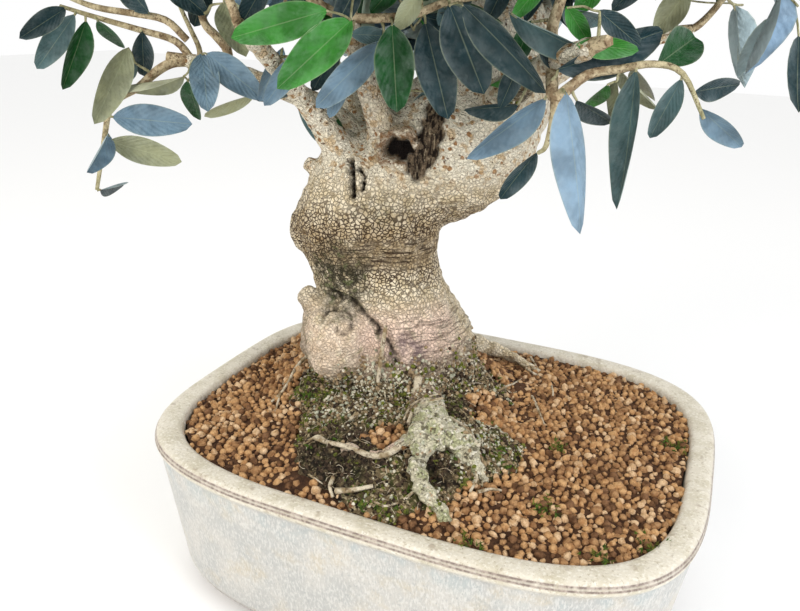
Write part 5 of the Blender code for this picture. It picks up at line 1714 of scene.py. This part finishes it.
LAID_ROOTS = (              # places, lift and radius in millimetres
    (((400, 446, 7), (387, 454, 4.5), (372, 456, 3.5), (356, 450, 3.5), (340, 445, 4), (326, 442, 4),
     (314, 438, 2.5)), 1.9),
    (((327, 442, 4), (318, 436, 3.5), (309, 441, 2), (301, 447, 0.5)), 0.9),
    (((316, 349, 9), (306, 357, 5), (296, 368, 3), (289, 381, 3), (281, 393, 3), (271, 402, 1)), 1.3),
    (((281, 392, 3), (278, 402, 2), (275, 413, 0.5)), 0.8),
    (((486, 352, 6), (500, 355, 5), (515, 361, 4), (528, 366, 3), (541, 372, 1)), 2.3),
    (((517, 361, 4), (530, 371, 3), (541, 377, 0.5)), 1.0),
    (((498, 391, 1), (507, 386, 3), (515, 383, 2.5), (524, 377, 1)), 0.8),
    (((530, 356, 1), (535, 364, 2.5), (541, 374, 0.5)), 0.8),
    (((551, 383, 0.5), (553, 392, 2.5), (552, 402, 0.5)), 0.7),
    (((532, 396, 0.5), (538, 409, 3), (544, 424, 0.5)), 0.9),
    (((506, 389, 3), (512, 393, 2), (518, 391, 0.5)), 0.5),
    (((333, 478, 2), (330, 487, 3.5), (333, 497, 1)), 1.3),
    (((336, 491, 2), (352, 490, 4), (373, 486, 3)), 1.7),
    (((350, 419, 3), (358, 413, 4.5)), 1.3),
    (((450, 418, 7), (463, 426, 9), (473, 437, 8), (476, 449, 3)), 1.1),
    (((408, 424, 4), (414, 410, 9), (428, 402, 12), (443, 398, 14)), 1.2),
    (((412, 428, 4), (418, 414, 8), (430, 408, 11), (441, 404, 14)), 0.9),
    (((404, 420, 3), (411, 406, 9), (424, 398, 12), (438, 394, 14)), 0.7),
    (((303, 471, 0.5), (314, 478, 2), (326, 486, 0.5)), 0.6),
    (((372, 500, 2), (384, 506, 3), (398, 503, 1)), 0.8),
    (((478, 492, 2), (492, 489, 3), (508, 492, 0.5)), 0.9),
    (((320, 405, 2), (329, 398, 4), (340, 396, 2)), 0.7),
    (((404, 500, 2), (415, 491, 4), (424, 492, 3), (432, 500, 1)), 0.8),
    (((470, 492, 2), (477, 478, 4), (474, 468, 2)), 0.8),
)
STANDING_ROOTS = (          # u, v, z and radius of two that run down the trunk's foot
    ((-7.6, -44, 173, 1.3), (-9.6, -48, 157, 1.5), (-11.5, -51, 137, 1.2)),
    ((14, -50, 141, 2.6), (13, -58, 133, 2.4), (14, -64, 124, 2.8)))
loose = []
for places, radius in LAID_ROOTS:
    line = spline([(*lying(px, py, lift), radius) for px, py, lift in places], 5)
    loose.append(([Vector(p[:3]) for p in line],
                  [p[3] * MM * (1.1 - 0.5 * k / len(line)) for k, p in enumerate(line)]))
for places in STANDING_ROOTS:
    line = spline([(*at(u, v, z), radius) for u, v, z, radius in places], 6)
    loose.append(([Vector(p[:3]) for p in line], [p[3] * MM for p in line]))
print(len(loose), "roots laid")

# %% Root felt
HAIRS, HAIR_STEPS = 170, 6
draw = random.Random(71)
felt_lines = []
while len(felt_lines) < HAIRS:
    start = draw.choice(mat_points)
    turn, bend, reach = draw.uniform(0, 6.28), draw.uniform(-0.35, 0.35), draw.uniform(4, 13) * MM
    path, radii = [], []
    for k in range(HAIR_STEPS + 1):
        x = start[0] + math.cos(turn + bend * k) * reach * k / HAIR_STEPS
        y = start[1] + math.sin(turn + bend * k) * reach * k / HAIR_STEPS
        lift = 2.2 + 1.3 * math.sin(math.pi * k / HAIR_STEPS) * draw.uniform(0.3, 1)
        path.append(Vector((x, y, ground_height(x, y) + lift * MM)))
        radii.append((0.26 - 0.025 * k) * MM)
    if mossy(*tree_terms(path[-1]).xy) > 0.5:
        felt_lines.append((path, radii))
root_skin, tree, shader = new_finish("dead_root", Roughness=0.85)
shader.inputs["Specular IOR Level"].default_value = 0.25
colour = laid_over(tree, "#94805f", "#d9cdb4", 7 * MM, 0.35, 0.6)
colour = laid_over(tree, colour, "#5c4733", 2.6 * MM, 0.55, 0.66, 0.8)
finish_with(tree, shader, colour, patches(tree, 1.3 * MM, 0.2, 0.8), 0.9 * MM)
for name, lines, sides in (("loose_roots", loose, 8), ("root_felt", felt_lines, 4)):
    made = run_tree(put(name, lines_mesh(name, lines)), sweep, Sides=sides, Finish=root_skin)
    made.data.shade_smooth()
    hand_in(made, "olive_bark")
